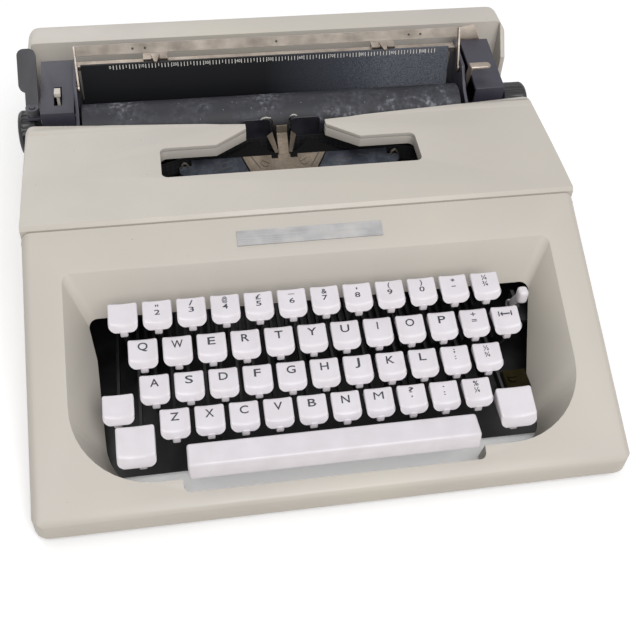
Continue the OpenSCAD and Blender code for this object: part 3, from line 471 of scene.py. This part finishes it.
def top_height(y, d, h):
    lip, top = cap_lines(h)
    return lip + (top - lip) * (y - CAP_LEAN - TOP_START) / (d - CAP_LEAN - TOP_LOSS)


def dish(x, w):
    return CAP_DISH * max(0.0, 1 - (2 * x / w) ** 2)


def add_cap(bm, x, y, z, w, d, h):
    lip, top = cap_lines(h)
    corners = [(0, STUB_H), (d, STUB_H), (d, top), (CAP_LEAN + 0.6, lip)]

    def bend(px, py, pz):
        side = abs(px) - (w / 2 - CAP_CORNER)
        lift = CAP_CORNER - math.sqrt(max(CAP_CORNER ** 2 - side ** 2, 0.0)) if side > 0 else 0.0
        low = STUB_H + lift
        if pz < low:
            pz = low
            py = max(py, CAP_LEAN * lift / (lip - STUB_H)) if py < d / 2 else py
        near_top = min(max((pz - top_height(py, d, h) + DISH_DEPTH) / DISH_DEPTH, 0.0), 1.0)
        return x + px, y + py, z + pz - near_top * dish(px, w)

    loft(bm, corners, [0.5, 0.5, 1.3, 3.0], -w / 2, w / 2, 1.5, bend, inner=12)


print("a letter cap rises from", [round(v, 1) for v in cap_lines(9.8)])

# %% The lever and the foot
BLADE_HALF, HUB_R, LEVER_HALF, STUB_HALF = 3, 5, 0.8, 2.2


def add_lever(bm, x, key_y, key_z):
    low, high = PIVOT_Z - BLADE_HALF, PIVOT_Z + BLADE_HALF
    stem = max(4, (key_z - PIVOT_Z) * 0.45)
    blade = [(key_y + stem + 2, low), (PIVOT_Y, low), (PIVOT_Y, high), (key_y + stem + 6, high),
             (key_y + 6, key_z + 2.5), (key_y, key_z + 2.5), (key_y, key_z - 1)]
    hub = [(PIVOT_Y + HUB_R * math.cos(math.radians(a)), PIVOT_Z + HUB_R * math.sin(math.radians(a)))
           for a in range(0, 360, 20)]
    for view, radius in ((blade, 0.3), (hub, 0.1)):
        loft(bm, view, [radius] * len(view), x - LEVER_HALF, x + LEVER_HALF, 0, material=1, inner=1,
             steps=1)


def add_stub(bm, x, y, z, depth, height):
    loft(bm, [(0, 0), (depth, 0), (depth, height), (0, height)], [1.4, 1.0, 0.3, 0.6],
         -STUB_HALF, STUB_HALF, 0.9, lambda px, py, pz: (x + px, y + py, z + pz), inner=2, steps=3)


print("levers turn on a rod at", PIVOT_Y, PIVOT_Z)

# %% [markdown]
# ## Legends
# Letters, figures and signs are printed on the caps in a wide, even face. Text objects give their
# outlines, which are drawn out to one width and made a little bolder. The filled meshes are laid on
# the dished top, about a tenth of a millimetre above it, so that they look printed.

# %% Text meshes laid on a cap
LETTER_SIZE, SIGN_LIFT = 6.4, 0.06


def sign_mesh(text, size, width=None, bold=0.014):
    """Filled outline of a text, with its middle at the origin, as points and faces in millimetres."""
    curve = bpy.data.curves.new("sign", "FONT")
    curve.body, curve.size, curve.resolution_u, curve.offset = text, size, 3, size * bold
    holder = bpy.data.objects.new("sign", curve)
    bpy.context.scene.collection.objects.link(holder)
    depsgraph = bpy.context.evaluated_depsgraph_get()
    mesh = bpy.data.meshes.new_from_object(holder.evaluated_get(depsgraph))
    points = [v.co.copy() for v in mesh.vertices]
    faces = [list(p.vertices) for p in mesh.polygons]
    bpy.data.objects.remove(holder)
    bpy.data.curves.remove(curve)
    bpy.data.meshes.remove(mesh)
    low = Vector([min(p[i] for p in points) for i in range(3)])
    high = Vector([max(p[i] for p in points) for i in range(3)])
    stretch = width / (high.x - low.x) if width else 1.0
    middle = (low + high) / 2
    return [Vector(((p.x - middle.x) * stretch, p.y - middle.y)) for p in points], faces


def add_sign(bm, sign, at_y, x, y, z, w, d, h):
    points, faces = sign
    lip, top = cap_lines(h)
    rise = math.atan2(top - lip, d - CAP_LEAN - TOP_LOSS)
    verts = []
    for p in points:
        py = at_y + p.y * math.cos(rise)
        height = top_height(py, d, h) - dish(p.x, w) + SIGN_LIFT
        verts.append(bm.verts.new(place(x + p.x, y + py, z + height)))
    for face in faces:
        bm.faces.new([verts[i] for i in face]).material_index = 2


print("the letter R has", len(sign_mesh("R", LETTER_SIZE)[0]), "points")

# %% [markdown]
# ## Letter keys
# Twenty-six keys stand in three rows. A row is 17.7 mm behind and 10.3 mm above the one in front of
# it, and the two middle rows hang a millimetre lower, as they do on the machine.

# %% Letter keys
KEY_X0, LEVER_GAP = -111.625, 4.75
FRONT_Y, FRONT_Z, ROW_STEP, ROW_RISE = 36.7, 28.2, 17.7, 10.3
ROW_SHIFT, ROW_SAG = [0, 2, 3, 5], [0, 1.2, 1.2, 0]
CAP_W, CAP_D, CAP_H = 16.3, 15.2, 9.8


def add_key(bm, row, column, signs):
    """A whole key; signs are (mesh, distance behind the apron)."""
    x = KEY_X0 + (ROW_SHIFT[row] + 4 * column) * LEVER_GAP
    y, z = FRONT_Y + (3 - row) * ROW_STEP, FRONT_Z + (3 - row) * ROW_RISE - ROW_SAG[row]
    add_cap(bm, x, y, z, CAP_W, CAP_D, CAP_H)
    add_stub(bm, x, y, z, 6.5, STUB_H + 1.5)
    add_lever(bm, x, y + 1, z + 1.5)
    for sign, at_y in signs:
        add_sign(bm, sign, at_y, x, y, z, CAP_W, CAP_D, CAP_H)


LETTER_PLACE, USUAL_WIDTH, BOLD = 10.5, 4.8, 0.012
LETTER_WIDTH = {"W": 6.4, "M": 5.8, "I": 0.8, "J": 3.0, "E": 4.3, "F": 3.9, "L": 4.1, "P": 4.4,
                "S": 4.4, "B": 4.6, "R": 4.5, "T": 4.7, "K": 4.7, "Q": 5.5, "O": 5.2, "U": 5.1,
                "D": 5.1, "G": 5.1, "Y": 5.2}
for row, letters in [(1, "qwertyuiop"), (2, "asdfghjkl"), (3, "zxcvbnm")]:
    for column, letter in enumerate(letters):
        bm = bmesh.new()
        capital = letter.upper()
        width = LETTER_WIDTH.get(capital, USUAL_WIDTH)
        sign = sign_mesh(capital, LETTER_SIZE, width, 0.0 if capital == "M" else BOLD)
        add_key(bm, row, column, [(sign, LETTER_PLACE)])
        finish_piece("cap_" + letter, bm, [white, black_steel, ink], "key_" + letter,
                     ["key_" + letter])

# %% [markdown]
# ## Figure and sign keys
# The other keys carry two signs, one above the other, as the shift key chooses between them. All
# nineteen share one body in the model, so they are one piece here. The back space key carries an arrow
# between two bars, which is drawn with a few strips.

# %% Figure keys
PAIRS = {0: ["", "\"2", "/3", "@4", "£5", "_6", "&7", "'8", "(9", ")0", "*-", "¼¾"],
         1: ["+="], 2: [";:", "½¾"], 3: ["?,", ".:", "%¼"]}
FIRST_COLUMN = {0: 0, 1: 10, 2: 9, 3: 7}
SIGN_SIZE, USUAL_SIGN, SIGN_PLACES, ARROW_COLUMN = 4.3, 3.1, (12.0, 8.2), 11
SIGN_WIDTH = {"'": 0.9, ".": 1.0, ":": 1.0, ",": 1.0, ";": 1.1, "\"": 1.9, "(": 1.4, ")": 1.4,
              "/": 2.4, "_": 3.6, "-": 2.6, "*": 2.2}
arrow = [[(-4.1, -1.5), (-3.4, -1.5), (-3.4, 1.5), (-4.1, 1.5)],
         [(3.4, -1.5), (4.1, -1.5), (4.1, 1.5), (3.4, 1.5)],
         [(-1.4, -0.4), (3.0, -0.4), (3.0, 0.4), (-1.4, 0.4)],
         [(-3.0, 0.0), (-1.4, -1.5), (-1.4, 1.5)]]
arrow_points = [Vector(p) for strip in arrow for p in strip]
arrow_faces = [[0, 1, 2, 3], [4, 5, 6, 7], [8, 9, 10, 11], [12, 13, 14]]
bm = bmesh.new()
for row, pairs in PAIRS.items():
    for k, pair in enumerate(pairs):
        signs = [(sign_mesh(sign, SIGN_SIZE, SIGN_WIDTH.get(sign, USUAL_SIGN)), at_y)
                 for sign, at_y in zip(pair, SIGN_PLACES)]
        add_key(bm, row, FIRST_COLUMN[row] + k, signs)
add_key(bm, 1, ARROW_COLUMN, [((arrow_points, arrow_faces), LETTER_PLACE)])
finish_piece("caps_figures", bm, [white, black_steel, ink], "figure_keys",
             ["figure_keys"])

# %% [markdown]
# ## Shift keys, shift lock and space bar
# These are bigger mouldings on the same kind of lever. The shift keys share a link bar below the rod,
# so that both go down together. The space bar rests on two thin arms that pass between the levers.

# %% Wide keys
def add_wide_key(bm, lever_x, cap_x, y, z, size):
    add_cap(bm, cap_x, y, z - STUB_H, *size)
    add_stub(bm, lever_x, y + 2, z - 5, 9, 8)
    add_lever(bm, lever_x, y + 3, z - 4)


def add_bar(bm, low, high, edge, material=0):
    """A box with round edges, from its low corner to its high corner."""
    outline = [(low[1], low[2]), (high[1], low[2]), (high[1], high[2]), (low[1], high[2])]
    loft(bm, outline, [edge] * 4, low[0], high[0], edge, material=material, inner=2, steps=3)


SHIFT_LEFT, SHIFT_RIGHT, LOCK_X = -106.875, 102.125, -118.75
bm = bmesh.new()
for lever_x, shift in [(SHIFT_LEFT, -2.8), (SHIFT_RIGHT, 1.5)]:
    add_wide_key(bm, lever_x, lever_x + shift, 24, 27, (21, 19.5, 13.8))
    add_bar(bm, (lever_x - LEVER_HALF, 220, 12), (lever_x + LEVER_HALF, 224, 22), 0.2, 1)
add_bar(bm, (SHIFT_LEFT, 220, 12), (SHIFT_RIGHT, 224, 16), 0.4, 1)
finish_piece("caps_shift", bm, [white, black_steel], "shift_keys", ["shift_keys"])
bm = bmesh.new()
add_wide_key(bm, LOCK_X, LOCK_X + 1.2, 44.5, 39, (17, 15.2, 9.8))
finish_piece("cap_lock", bm, [white, black_steel], "shift_lock", ["shift_lock"])

# %% Space bar
ARM_HALF = 0.6
bm = bmesh.new()
loft(bm, [(14, 26), (31, 26), (31, 36), (16.4, 36)], [0.6, 0.8, 1.8, 2.0], -83, 79, 1.8, inner=8)
for arm_x in (-61.75, 52.25):
    arm = [(24, 12.5), (72.1, 12.5), (104, 23), (222, 23), (222, 29), (100.4, 29), (72.1, 16.5),
           (30, 16.5), (29, 34), (24, 34)]
    loft(bm, arm, [0.2] * len(arm), arm_x - ARM_HALF, arm_x + ARM_HALF, 0, material=1, inner=1, steps=1)
finish_piece("space_bar_moulding", bm, [white, black_steel], "space_bar", ["space_bar"])

# %% [markdown]
# ## Softened mouldings
# The model's edges are sharp where two faces meet, but a moulding always comes out of its tool with a
# small radius, and a pressed sheet has one too. A copy of the node is cleaned of the triangles in its
# flat faces, and its sharp edges are bevelled. The copy then stands for the node, which stays as it is.
# A second finish can be given to some of its faces, chosen by where they lie.

# %% Copies with bevelled edges
SAME_POINT, FLAT, SHARP = 2e-6, math.radians(0.6), math.radians(28)


def softened(node, name, width, body, materials, segments=3, second=None):
    """A copy with bevelled edges; second picks the faces for the second finish."""
    bm = bmesh.new()
    bm.from_mesh(nodes[node].data)
    bmesh.ops.remove_doubles(bm, verts=bm.verts, dist=SAME_POINT)
    bmesh.ops.dissolve_limit(bm, angle_limit=FLAT, verts=bm.verts, edges=bm.edges)
    sharp = [e for e in bm.edges if e.is_manifold and e.calc_face_angle(0) > SHARP]
    bmesh.ops.bevel(bm, geom=sharp, offset=width / 1000, offset_type="OFFSET", segments=segments,
                    profile=0.5, affect="EDGES", clamp_overlap=True)
    for face in bm.faces:
        face.smooth = True
        spot = face.calc_center_median() * 1000
        face.material_index = 1 if second and second(spot.x, spot.y + BODY_DEPTH / 2, spot.z) else 0
    finish_piece(name, bm, materials, body, [node], sharp=24)


softened("body_shell", "body_moulding", 1.0, "machine", [beige])
softened("rear_deck", "rear_moulding", 1.2, "machine", [beige])
softened("ribbon_cover", "cover_moulding", 0.8, "cover", [beige])
softened("end_cover_left", "end_moulding_left", 1.0, "carriage", [slate])
softened("end_cover_right", "end_moulding_right", 1.0, "carriage", [slate])

# %% [markdown]
# ## Small metal and plastic pieces of the carriage
# The carriage's deck is painted, but its end plates and the rack for the margin stops are plated sheet.
# The return lever is a thick moulded paddle. The stops and the line spacing lever only need rounder
# edges.

# %% Carriage frame, stops and levers
RACK_LEFT, RACK_RIGHT, RACK_LOW = -133, 123, 99
softened("carriage_frame", "carriage_pressing", 0.3, "carriage", [slate_steel, tan_steel],
         segments=2, second=lambda x, y, z: z > RACK_LOW and RACK_LEFT < x < RACK_RIGHT)
softened("margin_stop_left", "stop_left", 0.5, "margin_stop_left", [tan_steel])
softened("margin_stop_right", "stop_right", 0.5, "margin_stop_right", [tan_steel])
softened("return_lever", "return_paddle", 0.9, "return_lever", [grey_plastic])
softened("spacing_selector", "spacing_tip", 0.6, "spacing_selector", [beige])

# %% [markdown]
# ## Plates, wires and turned pieces
# Three more shapes are needed: a plate with a bevelled rim, a bent wire, and a turned piece that may
# have ribs. Each is a row of rings with faces between them, like the loft.

# %% Three shapes from rings
def slab(bm, outline, at, low, high, edge, material=0):
    """An outline in (u, v), raised from low to high with a bevelled rim; at(u, v, w) gives a place."""
    rings = []
    for w, inset in ((low, 0.0), (high - edge, 0.0), (high, edge)):
        ring = inset_outline(outline, inset) if inset else outline
        rings.append([bm.verts.new(place(*at(p[0], p[1], w))) for p in ring])
    skin(bm, rings, material)


def wire(bm, path, radius, material=0, sides=8):
    """A round wire along a path that stays at one distance from the front."""
    points = [Vector(p) for p in path]
    rings = []
    for k, point in enumerate(points):
        ahead = (points[min(k + 1, len(points) - 1)] - points[max(k - 1, 0)]).normalized()
        side, depth = ahead.cross(Vector((0, 1, 0))), Vector((0, 1, 0))
        turns = [2 * math.pi * n / sides for n in range(sides)]
        rings.append([bm.verts.new(place(*(point + radius * (side * math.cos(a) + depth * math.sin(a)))))
                      for a in turns])
    skin(bm, rings, material)


def turned(bm, profile, y, z, ribs=0, steps=96):
    """A turned piece along X; profile is (x, radius, depth of the grooves between its ribs)."""
    rings = []
    for x, radius, groove in profile:
        ring = []
        for k in range(steps):
            angle = 2 * math.pi * k / steps
            r = radius - groove * (0.5 - 0.5 * math.cos(ribs * angle))
            ring.append(bm.verts.new(place(x, y + r * math.cos(angle), z + r * math.sin(angle))))
        rings.append(ring)
    skin(bm, rings, 0)


def mark(bm, outline, at, lift, material):
    """A flat printed or cut mark, just above a surface."""
    bm.faces.new([bm.verts.new(place(*at(u, v, lift))) for u, v in outline]).material_index = material


print("plates, wires and turned pieces ready")

# %% [markdown]
# ## Platen knobs
# The knobs are moulded with fine ribs for the fingers, a round rim, and a shallow dish in the end.

# %% Ribbed knobs
PLATEN_Y, PLATEN_Z, KNOB_R = 262.0, 75.0, 14.5
bm = bmesh.new()
for start, length in ((-161.0, -12.0), (151.0, 17.5)):
    side = math.copysign(1.0, length)
    end = start + length
    turned(bm, [(start, 3.1, 0), (start, KNOB_R - 1.0, 0), (start + 0.6 * side, KNOB_R - 0.3, 0),
                (start + 1.4 * side, KNOB_R, 0), (start + 1.8 * side, KNOB_R, 0.7),
                (end - 3.2 * side, KNOB_R, 0.7), (end - 2.8 * side, KNOB_R, 0),
                (end - 2.2 * side, KNOB_R - 0.1, 0), (end - 1.2 * side, KNOB_R - 0.6, 0),
                (end - 0.4 * side, KNOB_R - 1.5, 0), (end, KNOB_R - 2.8, 0),
                (end - 0.2 * side, KNOB_R - 4.0, 0), (end - 1.4 * side, KNOB_R - 7.0, 0),
                (end - 1.5 * side, 0.6, 0)], PLATEN_Y, PLATEN_Z, ribs=24)
finish_piece("knobs_ribbed", bm, [black], "platen", ["platen_knobs"])

# %% [markdown]
# ## Paper bail
# The bail is a flat plated bar on two arms, with a few small holes. It leans back when it is raised, so
# its front face is followed by a helper that counts along the arm.

# %% Paper bail with its holes
BAIL_Y, BAIL_Z, BAIL_LEAN = 278, 96, math.radians(90 - 67.4)
HOLE_R, HOLE_ALONG, BAR_FRONT = 0.8, 23.8, 0.74


def on_bail(x, along, out):
    return (x, BAIL_Y + along * math.sin(BAIL_LEAN) - out * math.cos(BAIL_LEAN),
            BAIL_Z + along * math.cos(BAIL_LEAN) + out * math.sin(BAIL_LEAN))


softened("paper_bail", "bail_bar", 0.35, "bail", [tan_bright], segments=2)
bm = bmesh.new()
for x in (-96, -88, -2, 88, 96):
    hole = [(x + HOLE_R * math.cos(t), HOLE_ALONG + HOLE_R * math.sin(t)) for t in
            (math.radians(a) for a in range(0, 360, 30))]
    mark(bm, hole, on_bail, BAR_FRONT, 0)
finish_piece("bail_holes", bm, [black_steel], "bail")

# %% [markdown]
# ## Paper release lever
# A plated sheet lever at the right end, with a tab that is bent outwards and rounded for the finger.

# %% Paper release lever
bm = bmesh.new()
loft(bm, [(267, 84), (273, 84), (266, 106.4), (260, 106.4)], [2.5, 2.5, 0.8, 0.8], 126.6, 128.1, 0.4,
     inner=1, steps=4)
tab = round_outline([(126.6, 260), (140.6, 260), (140.6, 266), (126.6, 266)], [0.6, 2.9, 2.9, 0.6])
slab(bm, tab, lambda u, v, w: (u, v, w), 106.0, 107.4, 0.5)
turned(bm, [(124.0, 1.5, 0), (127.4, 1.5, 0)], 270, 84, steps=24)
turned(bm, [(126.6, 3.5, 0), (127.8, 3.5, 0), (128.2, 3.0, 0)], 270, 84, steps=32)
finish_piece("release_tab", bm, [tan_steel], "release_lever", ["release_lever"])

# %% [markdown]
# ## Ribbon colour selector
# A white lever beside the keys, with a soft round pad at its top.

# %% Ribbon colour selector
bm = bmesh.new()
loft(bm, [(88.5, 58), (95.5, 58), (95.5, 68), (88.5, 68)], [2.6] * 4, 116.2, 122.2, 2.2, inner=3)
loft(bm, [(102, 41), (107, 41), (95, 63), (90, 63)], [1.0] * 4, 118.2, 120.2, 0.5, inner=1)
turned(bm, [(118.2, 3.6, 0), (118.6, 4.0, 0), (119.8, 4.0, 0), (120.2, 3.6, 0)], 104, 41, steps=32)
turned(bm, [(119.5, 2.0, 0), (123.2, 2.0, 0)], 104, 41, steps=24)
finish_piece("selector_pad", bm, [white], "colour_selector", ["colour_selector"])

# %% [markdown]
# ## Scale on the paper table
# A scale is printed along the top of the sheet behind the platen, with twelve letter spaces to 25.4 mm
# and a number at every tenth. The marks are flat faces just above the paint.

# %% Printed scale
TABLE_Y, TABLE_Z, TABLE_RISE, TABLE_LEAN = 280, 72, 34, 8.3
LETTER_SPACE, SCALE_LEFT, SCALE_MARKS = 25.4 / 12, -112.0, 105
MARK_HALF, MARK_TOP, NUMBER_Z, PRINT_LIFT = 0.26, 105.4, 104.2, 0.05


def on_table(x, height, out):
    rise = (height - TABLE_Z) / TABLE_RISE
    return x, TABLE_Y + TABLE_LEAN * rise - out, height


bm = bmesh.new()
for n in range(SCALE_MARKS):
    x = SCALE_LEFT + LETTER_SPACE * n
    if n % 10:
        low, left, right = 102.6 if n % 5 else 103.4, x - MARK_HALF, x + MARK_HALF
        corners = [(left, low), (right, low), (right, MARK_TOP), (left, MARK_TOP)]
        mark(bm, corners, on_table, PRINT_LIFT, 0)
        continue
    points, faces = sign_mesh(str(n), 2.8)
    verts = [bm.verts.new(place(*on_table(x + p.x, NUMBER_Z + p.y, PRINT_LIFT))) for p in points]
    for face in faces:
        bm.faces.new([verts[i] for i in face])
finish_piece("table_scale", bm, [pale_ink], "carriage")

# %% [markdown]
# ## Plated sheet behind the right end cover
# A bent piece of plated sheet leans back behind the cover, fixed to the rack's end plate.

# %% Plated sheet
LOW_LEFT, LOW_RIGHT = Vector((126.1, 301.6, 99.0)), Vector((144.8, 301.6, 101.9))
TOP_RIGHT, TOP_LEFT = Vector((140.6, 306.0, 112.1)), Vector((127.6, 306.0, 109.2))
SHEET_W, SHEET_H, SHEET_OUT = 18, 10, Vector((0, -0.9, 0.4))


def on_sheet(u, v, w):
    low, top = LOW_LEFT.lerp(LOW_RIGHT, u / SHEET_W), TOP_LEFT.lerp(TOP_RIGHT, u / SHEET_W)
    return low.lerp(top, v / SHEET_H) + SHEET_OUT * w


bm = bmesh.new()
sheet = round_outline([(0, 0), (SHEET_W, 0), (SHEET_W, SHEET_H), (0, SHEET_H)], [0.3, 1.5, 2.5, 1.5])
slab(bm, sheet, on_sheet, -0.5, 0.5, 0.2)
foot = [(292, 100.2), (301.9, 99.0), (301.9, 102.0), (292, 102.8)]
loft(bm, foot, [0.3] * 4, 125.9, 127.3, 0.2, inner=1, steps=2)
finish_piece("plated_sheet", bm, [tan_steel], "carriage")

# %% [markdown]
# ## Type bed
# Under the slot in the cover lies the bed of the type bars: a tan plate in the middle, and grey
# hardened wings with comb slits at both sides. It rests on the segment, so it is drawn in the slope of
# the type bars, with v counted down the slope from the middle of the fan.

# %% Type bed on the segment
FAN_TILT, FAN_Y, FAN_Z, MIDDLE = math.radians(32), 244.0, 80.0, -4.0


def on_fan(x, v, w):
    return (x, FAN_Y - v * math.cos(FAN_TILT) - w * math.sin(FAN_TILT),
            FAN_Z - v * math.sin(FAN_TILT) + w * math.cos(FAN_TILT))


def strip(ax, av, bx, bv, half):
    """Corners of a thin straight mark between two places."""
    along = Vector((bx - ax, bv - av)).normalized()
    side = Vector((-along.y, along.x)) * half
    a, b = Vector((ax, av)), Vector((bx, bv))
    return [a + side, a - side, b - side, b + side]


bm = bmesh.new()
centre = [(-31.7, 18.6), (-12.3, 18.6), (-12.3, 21.0), (-8.2, 21.0), (-8.2, 18.6), (0.2, 18.6),
          (0.2, 21.0), (4.7, 21.0), (4.7, 18.6), (23.6, 18.6), (17.7, 28.5), (12, 38), (-20, 38),
          (-27.4, 28.5)]
slab(bm, centre, on_fan, 0.0, 0.9, 0.25)
left_wing = [(-65, 18.6), (-32.2, 18.6), (-27.9, 28.8), (-26, 34), (-66, 34), (-73, 27),
             (-73, 22.4), (-65, 22.4)]
right_wing = [(24.1, 18.6), (65, 18.6), (65, 22.8), (73, 22.8), (73, 27), (66, 34), (15, 34),
              (18.2, 28.8)]
for wing in (left_wing, right_wing):
    slab(bm, wing, on_fan, 0.0, 0.6, 0.2, 1)
for ends in [(-25.8, 19.0, -20.1, 27.8), (19.0, 19.0, 12.9, 28.5)]:
    mark(bm, strip(*ends, 0.35), on_fan, 0.93, 2)
for ends in [(-50, 27.2, -38.5, 24.2), (-49, 23.2, -38, 20.8), (-57, 25.0, -52, 23.8),
             (29, 23.0, 41, 24.6), (29, 26.2, 40, 28.0), (45, 22.0, 52, 23.4),
             (-60, 29.0, -46, 29.8), (34, 29.6, 52, 29.6)]:
    mark(bm, strip(*ends, 0.4), on_fan, 0.63, 2)
finish_piece("type_bed", bm, [bed_steel, grey_steel, black_steel], "machine")

# %% [markdown]
# ## Type guide
# At the printing point a plated post stands on the bed, with two prongs that guide the type bar. Two
# dark card plates behind it hold the paper to the platen. A bright wire hook at each side and a small
# wire eye near each end of the slot lead the ribbon.

# %% Type guide, card plates and ribbon hooks
bm = bmesh.new()
stem = [(223.6, 67.3), (227.9, 69.9), (242.0, 79), (242.0, 84), (240.8, 84), (239.8, 79)]
loft(bm, list(reversed(stem)), [0.4] * 6, MIDDLE - 3.6, MIDDLE + 3.6, 0.4, inner=2, steps=2)
for side in (-1, 1):
    prong = [(MIDDLE + side * 3.4, 229.5, 70.6), (MIDDLE + side * 5.6, 229.5, 70.4),
             (MIDDLE + side * 9.8, 241.6, 75.2), (MIDDLE + side * 6.2, 241.6, 78.4)]
    rings = [[bm.verts.new(place(x, y - 0.3 * k, z + 0.7 * k)) for x, y, z in prong] for k in (0, 1)]
    skin(bm, rings, 0)
    x0, x1 = sorted((MIDDLE + side * 7.0, MIDDLE + side * 26.0))
    slab(bm, round_outline([(x0, 61), (x1, 61), (x1, 87), (x0, 87)], [0.5, 0.5, 3.0, 3.0]),
         lambda u, v, w: (u, 244.8 - w, v), -0.4, 0.4, 0.2, 1)
add_bar(bm, (MIDDLE - 26, 236, 59), (MIDDLE + 26, 245.2, 61), 0.3, 1)
add_bar(bm, (MIDDLE - 12, 237, 39), (MIDDLE + 12, 238, 60), 0.3, 1)
hooks = [[(-9.6, 74.5), (-9.9, 82.4), (-10.2, 87), (-11.2, 89.2), (-14.2, 90), (-16.4, 89.4),
          (-17.4, 88.4)],
         [(1.9, 76.0), (1.7, 82.4), (1.4, 87.5), (2.0, 89.8), (3.5, 91), (5.0, 90.8), (5.9, 89.8)]]
HOOK_Y, EYE_Y = 242.4, 224.0
for hook in hooks:
    wire(bm, [(x, HOOK_Y, z) for x, z in hook], 0.65, 2)
for x in (-69.3, 69.6):
    eye = [(-2.4, 66.8), (-1.9, 69.6), (-0.9, 71.2), (0.0, 71.6), (0.9, 71.2), (1.9, 69.6), (2.4, 66.8)]
    wire(bm, [(x + dx, EYE_Y, z) for dx, z in eye], 0.8, 3)
finish_piece("guide_post", bm, [bed_steel, card_steel, bright, tan_steel], "machine",
             ["type_guide"])

# %% [markdown]
# ## Plate beside the keys
# At the right of the keys a small olive plate is screwed to the chassis bracket. Its screw has the same
# finish, so the faces of that one screw are picked out of the node by their place.

# %% Olive plate
bm = bmesh.new()
slab(bm, round_outline([(109.2, 58.2), (123.8, 58.2), (123.8, 71.8), (109.2, 71.8)], [1.0] * 4),
     lambda u, v, w: (u, v, w), 18.0, 18.6, 0.2)
finish_piece("bracket_plate", bm, [olive_steel], "machine")
RIGHT_OF, ABOVE = 0.1, 0.012
screws = nodes["screws"].data
screws.materials.append(olive_steel)
for face in screws.polygons:
    if face.center.x > RIGHT_OF and face.center.z > ABOVE:
        face.material_index = 1

# %% [markdown]
# ## Camera
# The camera stands where the photograph was taken from: above the front left of the machine, looking
# down by 48 degrees, turned a little to the right and rolled slightly.

# %% Camera
FOCAL_PIXELS, PICTURE_PIXELS, SENSOR = 953.6, 640, 36
tilt, turn, roll = math.radians(48), math.radians(-11.57), math.radians(3.46)
ahead = Vector((-math.sin(turn) * math.cos(tilt), math.cos(turn) * math.cos(tilt), -math.sin(tilt)))
level = Vector((math.cos(turn), math.sin(turn), 0))
above = level.cross(ahead)
right = level * math.cos(roll) + above * math.sin(roll)
upward = above * math.cos(roll) - level * math.sin(roll)
lens = bpy.data.cameras.new("camera")
lens.sensor_width = SENSOR
lens.lens = FOCAL_PIXELS / PICTURE_PIXELS * SENSOR
camera = bpy.data.objects.new("camera", lens)
bpy.context.scene.collection.objects.link(camera)
camera.matrix_world = Matrix((right, upward, -ahead)).transposed().to_4x4()
camera.matrix_world.translation = place(-74.7, -268.2, 465.3)
bpy.context.scene.camera = camera
print("camera at", [round(v, 3) for v in camera.matrix_world.translation])

# %% [markdown]
# ## Floor and light
# The machine stands on a plain floor. The camera and the mirrors see it white, with a glow that grows
# with the distance and keeps it white to the horizon. The light it sends up to the machine is that of
# a pale table, so the front edge stays a little darker than the slope above it. One large soft lamp
# hangs high in front, a little to the right, and a weak one fills from the rear. The room is a pale,
# even light; it looks white to the camera and in reflections.

# %% Floor
FLOOR = 6


def seen_rays(tree):
    """1 for rays from the camera, from mirrors and through glass, 0 for light on its way to a surface."""
    path = add(tree, "LightPath")
    seen = add(tree, "Math", {0: path.outputs["Is Camera Ray"], 1: path.outputs["Is Glossy Ray"]},
               operation="MAXIMUM")
    return add(tree, "Math", {0: seen, 1: path.outputs["Is Transmission Ray"]}, operation="MAXIMUM")


floor_mesh = bpy.data.meshes.new("floor")
floor_corners = [(-FLOOR, -FLOOR, 0), (FLOOR, -FLOOR, 0), (FLOOR, FLOOR, 0), (-FLOOR, FLOOR, 0)]
floor_mesh.from_pydata(floor_corners, [], [(0, 1, 2, 3)])
floor = bpy.data.objects.new("floor", floor_mesh)
bpy.context.scene.collection.objects.link(floor)
floor_paint, tree, where = begin("floor_paint_matt")
seen = seen_rays(tree)
tint = add(tree, "Mix", {0: seen, 6: colour("#c4bcb2"), 7: colour("#ffffff")}, data_type="RGBA")
far = add(tree, "VectorMath", {0: where}, operation="LENGTH")
glow = add(tree, "MapRange", {"Value": far, "From Min": 0.5, "From Max": 1.8,
                              "To Min": 0.14, "To Max": 1.0})
glow = add(tree, "Math", {0: glow, 1: seen}, operation="MULTIPLY")
shader = add(tree, "BsdfPrincipled", {"Base Color": tint, "Roughness": 0.9, "Specular IOR Level": 0.0,
                                      "Emission Color": colour("#ffffff"), "Emission Strength": glow})
add(tree, "OutputMaterial", {"Surface": shader})
floor_mesh.materials.append(floor_paint)
print("floor ready")

# %% Lamps and world
LAMP_AIM = Vector((0, 0, 0.05))
for name, spot, size, power in [("key_lamp", (0.25, -1.45, 1.78), 1.6, 40.0),
                                ("rear_lamp", (-0.7, 1.5, 1.4), 1.6, 12.0)]:
    lamp = bpy.data.lights.new(name, "AREA")
    lamp.size, lamp.energy = size, power
    lamp_object = bpy.data.objects.new(name, lamp)
    bpy.context.scene.collection.objects.link(lamp_object)
    lamp_object.location = spot
    lamp_object.rotation_euler = (LAMP_AIM - Vector(spot)).to_track_quat("-Z", "Y").to_euler()
world = bpy.data.worlds.new("pale_room")
bpy.context.scene.world = world
world.use_nodes = True
tree = world.node_tree
tree.nodes.clear()
plain = add(tree, "Background", {"Color": colour("#ffffff"), "Strength": 0.33})
shown = add(tree, "Background", {"Color": colour("#ffffff"), "Strength": 1.0})
add(tree, "OutputWorld", {"Surface": add(tree, "MixShader", {0: seen_rays(tree), 1: plain, 2: shown})})
bpy.context.scene.view_settings.view_transform = "Standard"
print("lamps and world ready")
